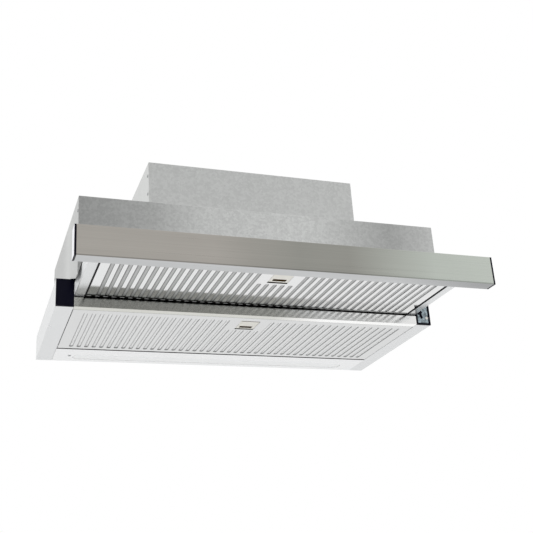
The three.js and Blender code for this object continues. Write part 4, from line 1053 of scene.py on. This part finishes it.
# Where the front wall, the mat's two edges and the floor's white rim begin and end
WALL_FADE = (-0.3, -0.65)
MAT_NEAR, MAT_FAR, MAT_WIDTH = (-1.6, -2.4), (-5.4, -4.4), (-1.0, 3.0)
RIM_FADE = (1.5, 4.5)


def add_lamp(name, power, place, target, size):
    """A soft rectangular lamp that faces a point."""
    light = bpy.data.lights.new(name, "AREA")
    light.shape = "RECTANGLE"
    light.size, light.size_y = size
    light.energy = power
    lamp = new_object(name, light)
    lamp.visible_glossy = False
    lamp.visible_camera = False
    lamp.location = place
    lamp.rotation_mode = "QUATERNION"
    lamp.rotation_quaternion = (Vector(target) - Vector(place)).to_track_quat("-Z", "Y")


def add_camera(lens):
    """The camera at the photograph's place."""
    ahead = Vector(CAMERA_AHEAD).normalized()
    right = Vector(CAMERA_RIGHT).normalized()
    turn = Matrix((right, right.cross(ahead), -ahead)).transposed().to_4x4()
    camera = new_object("camera", bpy.data.cameras.new("camera"))
    camera.data.lens = lens
    camera.data.sensor_width = SENSOR_WIDTH
    camera.matrix_world = Matrix.Translation(CAMERA_PLACE) @ turn
    bpy.context.scene.camera = camera


def glow(tree, kind, shade, strength=1.0):
    """A background's or an emission's shader."""
    return add(tree, kind, {"Color": opaque(shade), "Strength": strength}).outputs[0]


def light_room(level):
    """White where the camera looks past the hood; metal sees a room that is darker in front of it."""
    world = bpy.data.worlds.new("studio")
    world.use_nodes = True
    tree = world.node_tree
    tree.nodes.clear()
    rays = add(tree, "ShaderNodeLightPath").outputs
    direction = add(tree, "ShaderNodeTexCoord").outputs["Generated"]
    axes = add(tree, "ShaderNodeSeparateXYZ", {"Vector": direction}).outputs
    wall = ramp(tree, between(tree, axes["X"], -1.0, 1.0), WALL_TONES)
    room = mix(tree, between(tree, axes["Y"], *WALL_FADE), WHITE, wall)
    lit = glow(tree, "ShaderNodeBackground", WHITE, level)
    seen = glow(tree, "ShaderNodeBackground", WHITE)
    mirrored = glow(tree, "ShaderNodeBackground", room)
    straight = calc(tree, "MAXIMUM", rays["Is Camera Ray"], rays["Is Transmission Ray"])
    surface = choose(tree, straight, choose(tree, rays["Is Glossy Ray"], lit, mirrored), seen)
    add(tree, "ShaderNodeOutputWorld", {"Surface": surface})
    bpy.context.scene.world = world


def floor_material():
    """A pale floor that keeps shadows. Metal sees it white, with a grey mat on it in front of the hood."""
    material, tree, shader = new_material("floor")
    feed(tree, shader, {"Base Color": opaque(FLOOR_SHADE), "Roughness": 0.7})
    rays = add(tree, "ShaderNodeLightPath").outputs
    forward = along(tree, "Y")
    mat = calc(tree, "MULTIPLY", between(tree, forward, *MAT_NEAR), between(tree, forward, *MAT_FAR))
    tones = ramp(tree, between(tree, along(tree, "X"), *MAT_WIDTH), MAT_TONES)
    mirrored = glow(tree, "ShaderNodeEmission", mix(tree, mat, MIRRORED_FLOOR, tones))
    reach = add(tree, "ShaderNodeVectorMath", {0: place_of(tree)}, operation="LENGTH").outputs["Value"]
    away = calc(tree, "MULTIPLY", between(tree, reach, *RIM_FADE), rays["Is Camera Ray"])
    seen = choose(tree, away, shader.outputs[0], glow(tree, "ShaderNodeEmission", WHITE))
    surface = choose(tree, rays["Is Glossy Ray"], seen, mirrored)
    feed(tree, tree.nodes["Material Output"], {"Surface": surface})
    return material


class HOOD_OT_stage(bpy.types.Operator):
    """The floor, the room, the lamps and the camera."""

    bl_idname = "hood.stage"
    bl_label = "Stage"

    def execute(self, context):
        studio = context.scene.hood_studio
        shape = bmesh.new()
        bmesh.ops.create_grid(shape, x_segments=1, y_segments=1, size=FLOOR_HALF_WIDTH)
        bmesh.ops.translate(shape, verts=shape.verts, vec=(0.0, 0.0, -studio.floor_drop))
        floor = new_object("floor", new_mesh("floor", shape))
        floor.data.materials.append(floor_material())
        light_room(studio.world_level)
        low = 0.06 - studio.floor_drop
        add_lamp("key_lamp", studio.key_power, place=(-2.2, -1.6, 0.6), target=(0.0, 0.0, 0.1), size=(1.6, 1.6))
        add_lamp("low_lamp", studio.fill_power, place=(0.2, -1.0, low), target=(0.2, -1.0, 0.0), size=(2.0, 1.2))
        add_camera(studio.lens)
        context.scene.view_settings.view_transform = "Standard"
        return {"FINISHED"}


# ---- Panel and registration -------------------------------------------------------------

operators = (
    HOOD_OT_finishes, HOOD_OT_fascia, HOOD_OT_drawer, HOOD_OT_seam_strips, HOOD_OT_frame, HOOD_OT_lamp, HOOD_OT_filters,
    HOOD_OT_body, HOOD_OT_rivets, HOOD_OT_outlet, HOOD_OT_fan, HOOD_OT_electronics, HOOD_OT_slides, HOOD_OT_controls,
    HOOD_OT_stage,
)


class HOOD_PT_pieces(bpy.types.Panel):
    """Lists the hood's pieces."""

    bl_idname = "HOOD_PT_pieces"
    bl_label = "Pull-out hood"
    bl_space_type = "VIEW_3D"
    bl_region_type = "UI"
    bl_category = "Hood"

    def draw(self, context):
        for operator in operators:
            self.layout.operator(operator.bl_idname)


settings = {"hood_colours": HoodColours, "hood_shape": HoodShape, "hood_studio": HoodStudio}
classes = (*settings.values(), *operators, HOOD_PT_pieces)


def register():
    for item in classes:
        bpy.utils.register_class(item)
    for name, group in settings.items():
        setattr(bpy.types.Scene, name, PointerProperty(type=group))


def unregister():
    for name in settings:
        delattr(bpy.types.Scene, name)
    for item in reversed(classes):
        bpy.utils.unregister_class(item)


def main():
    register()
    for operator in operators:
        group, name = operator.bl_idname.split(".")
        getattr(getattr(bpy.ops, group), name)()


if __name__ == "__main__":
    main()
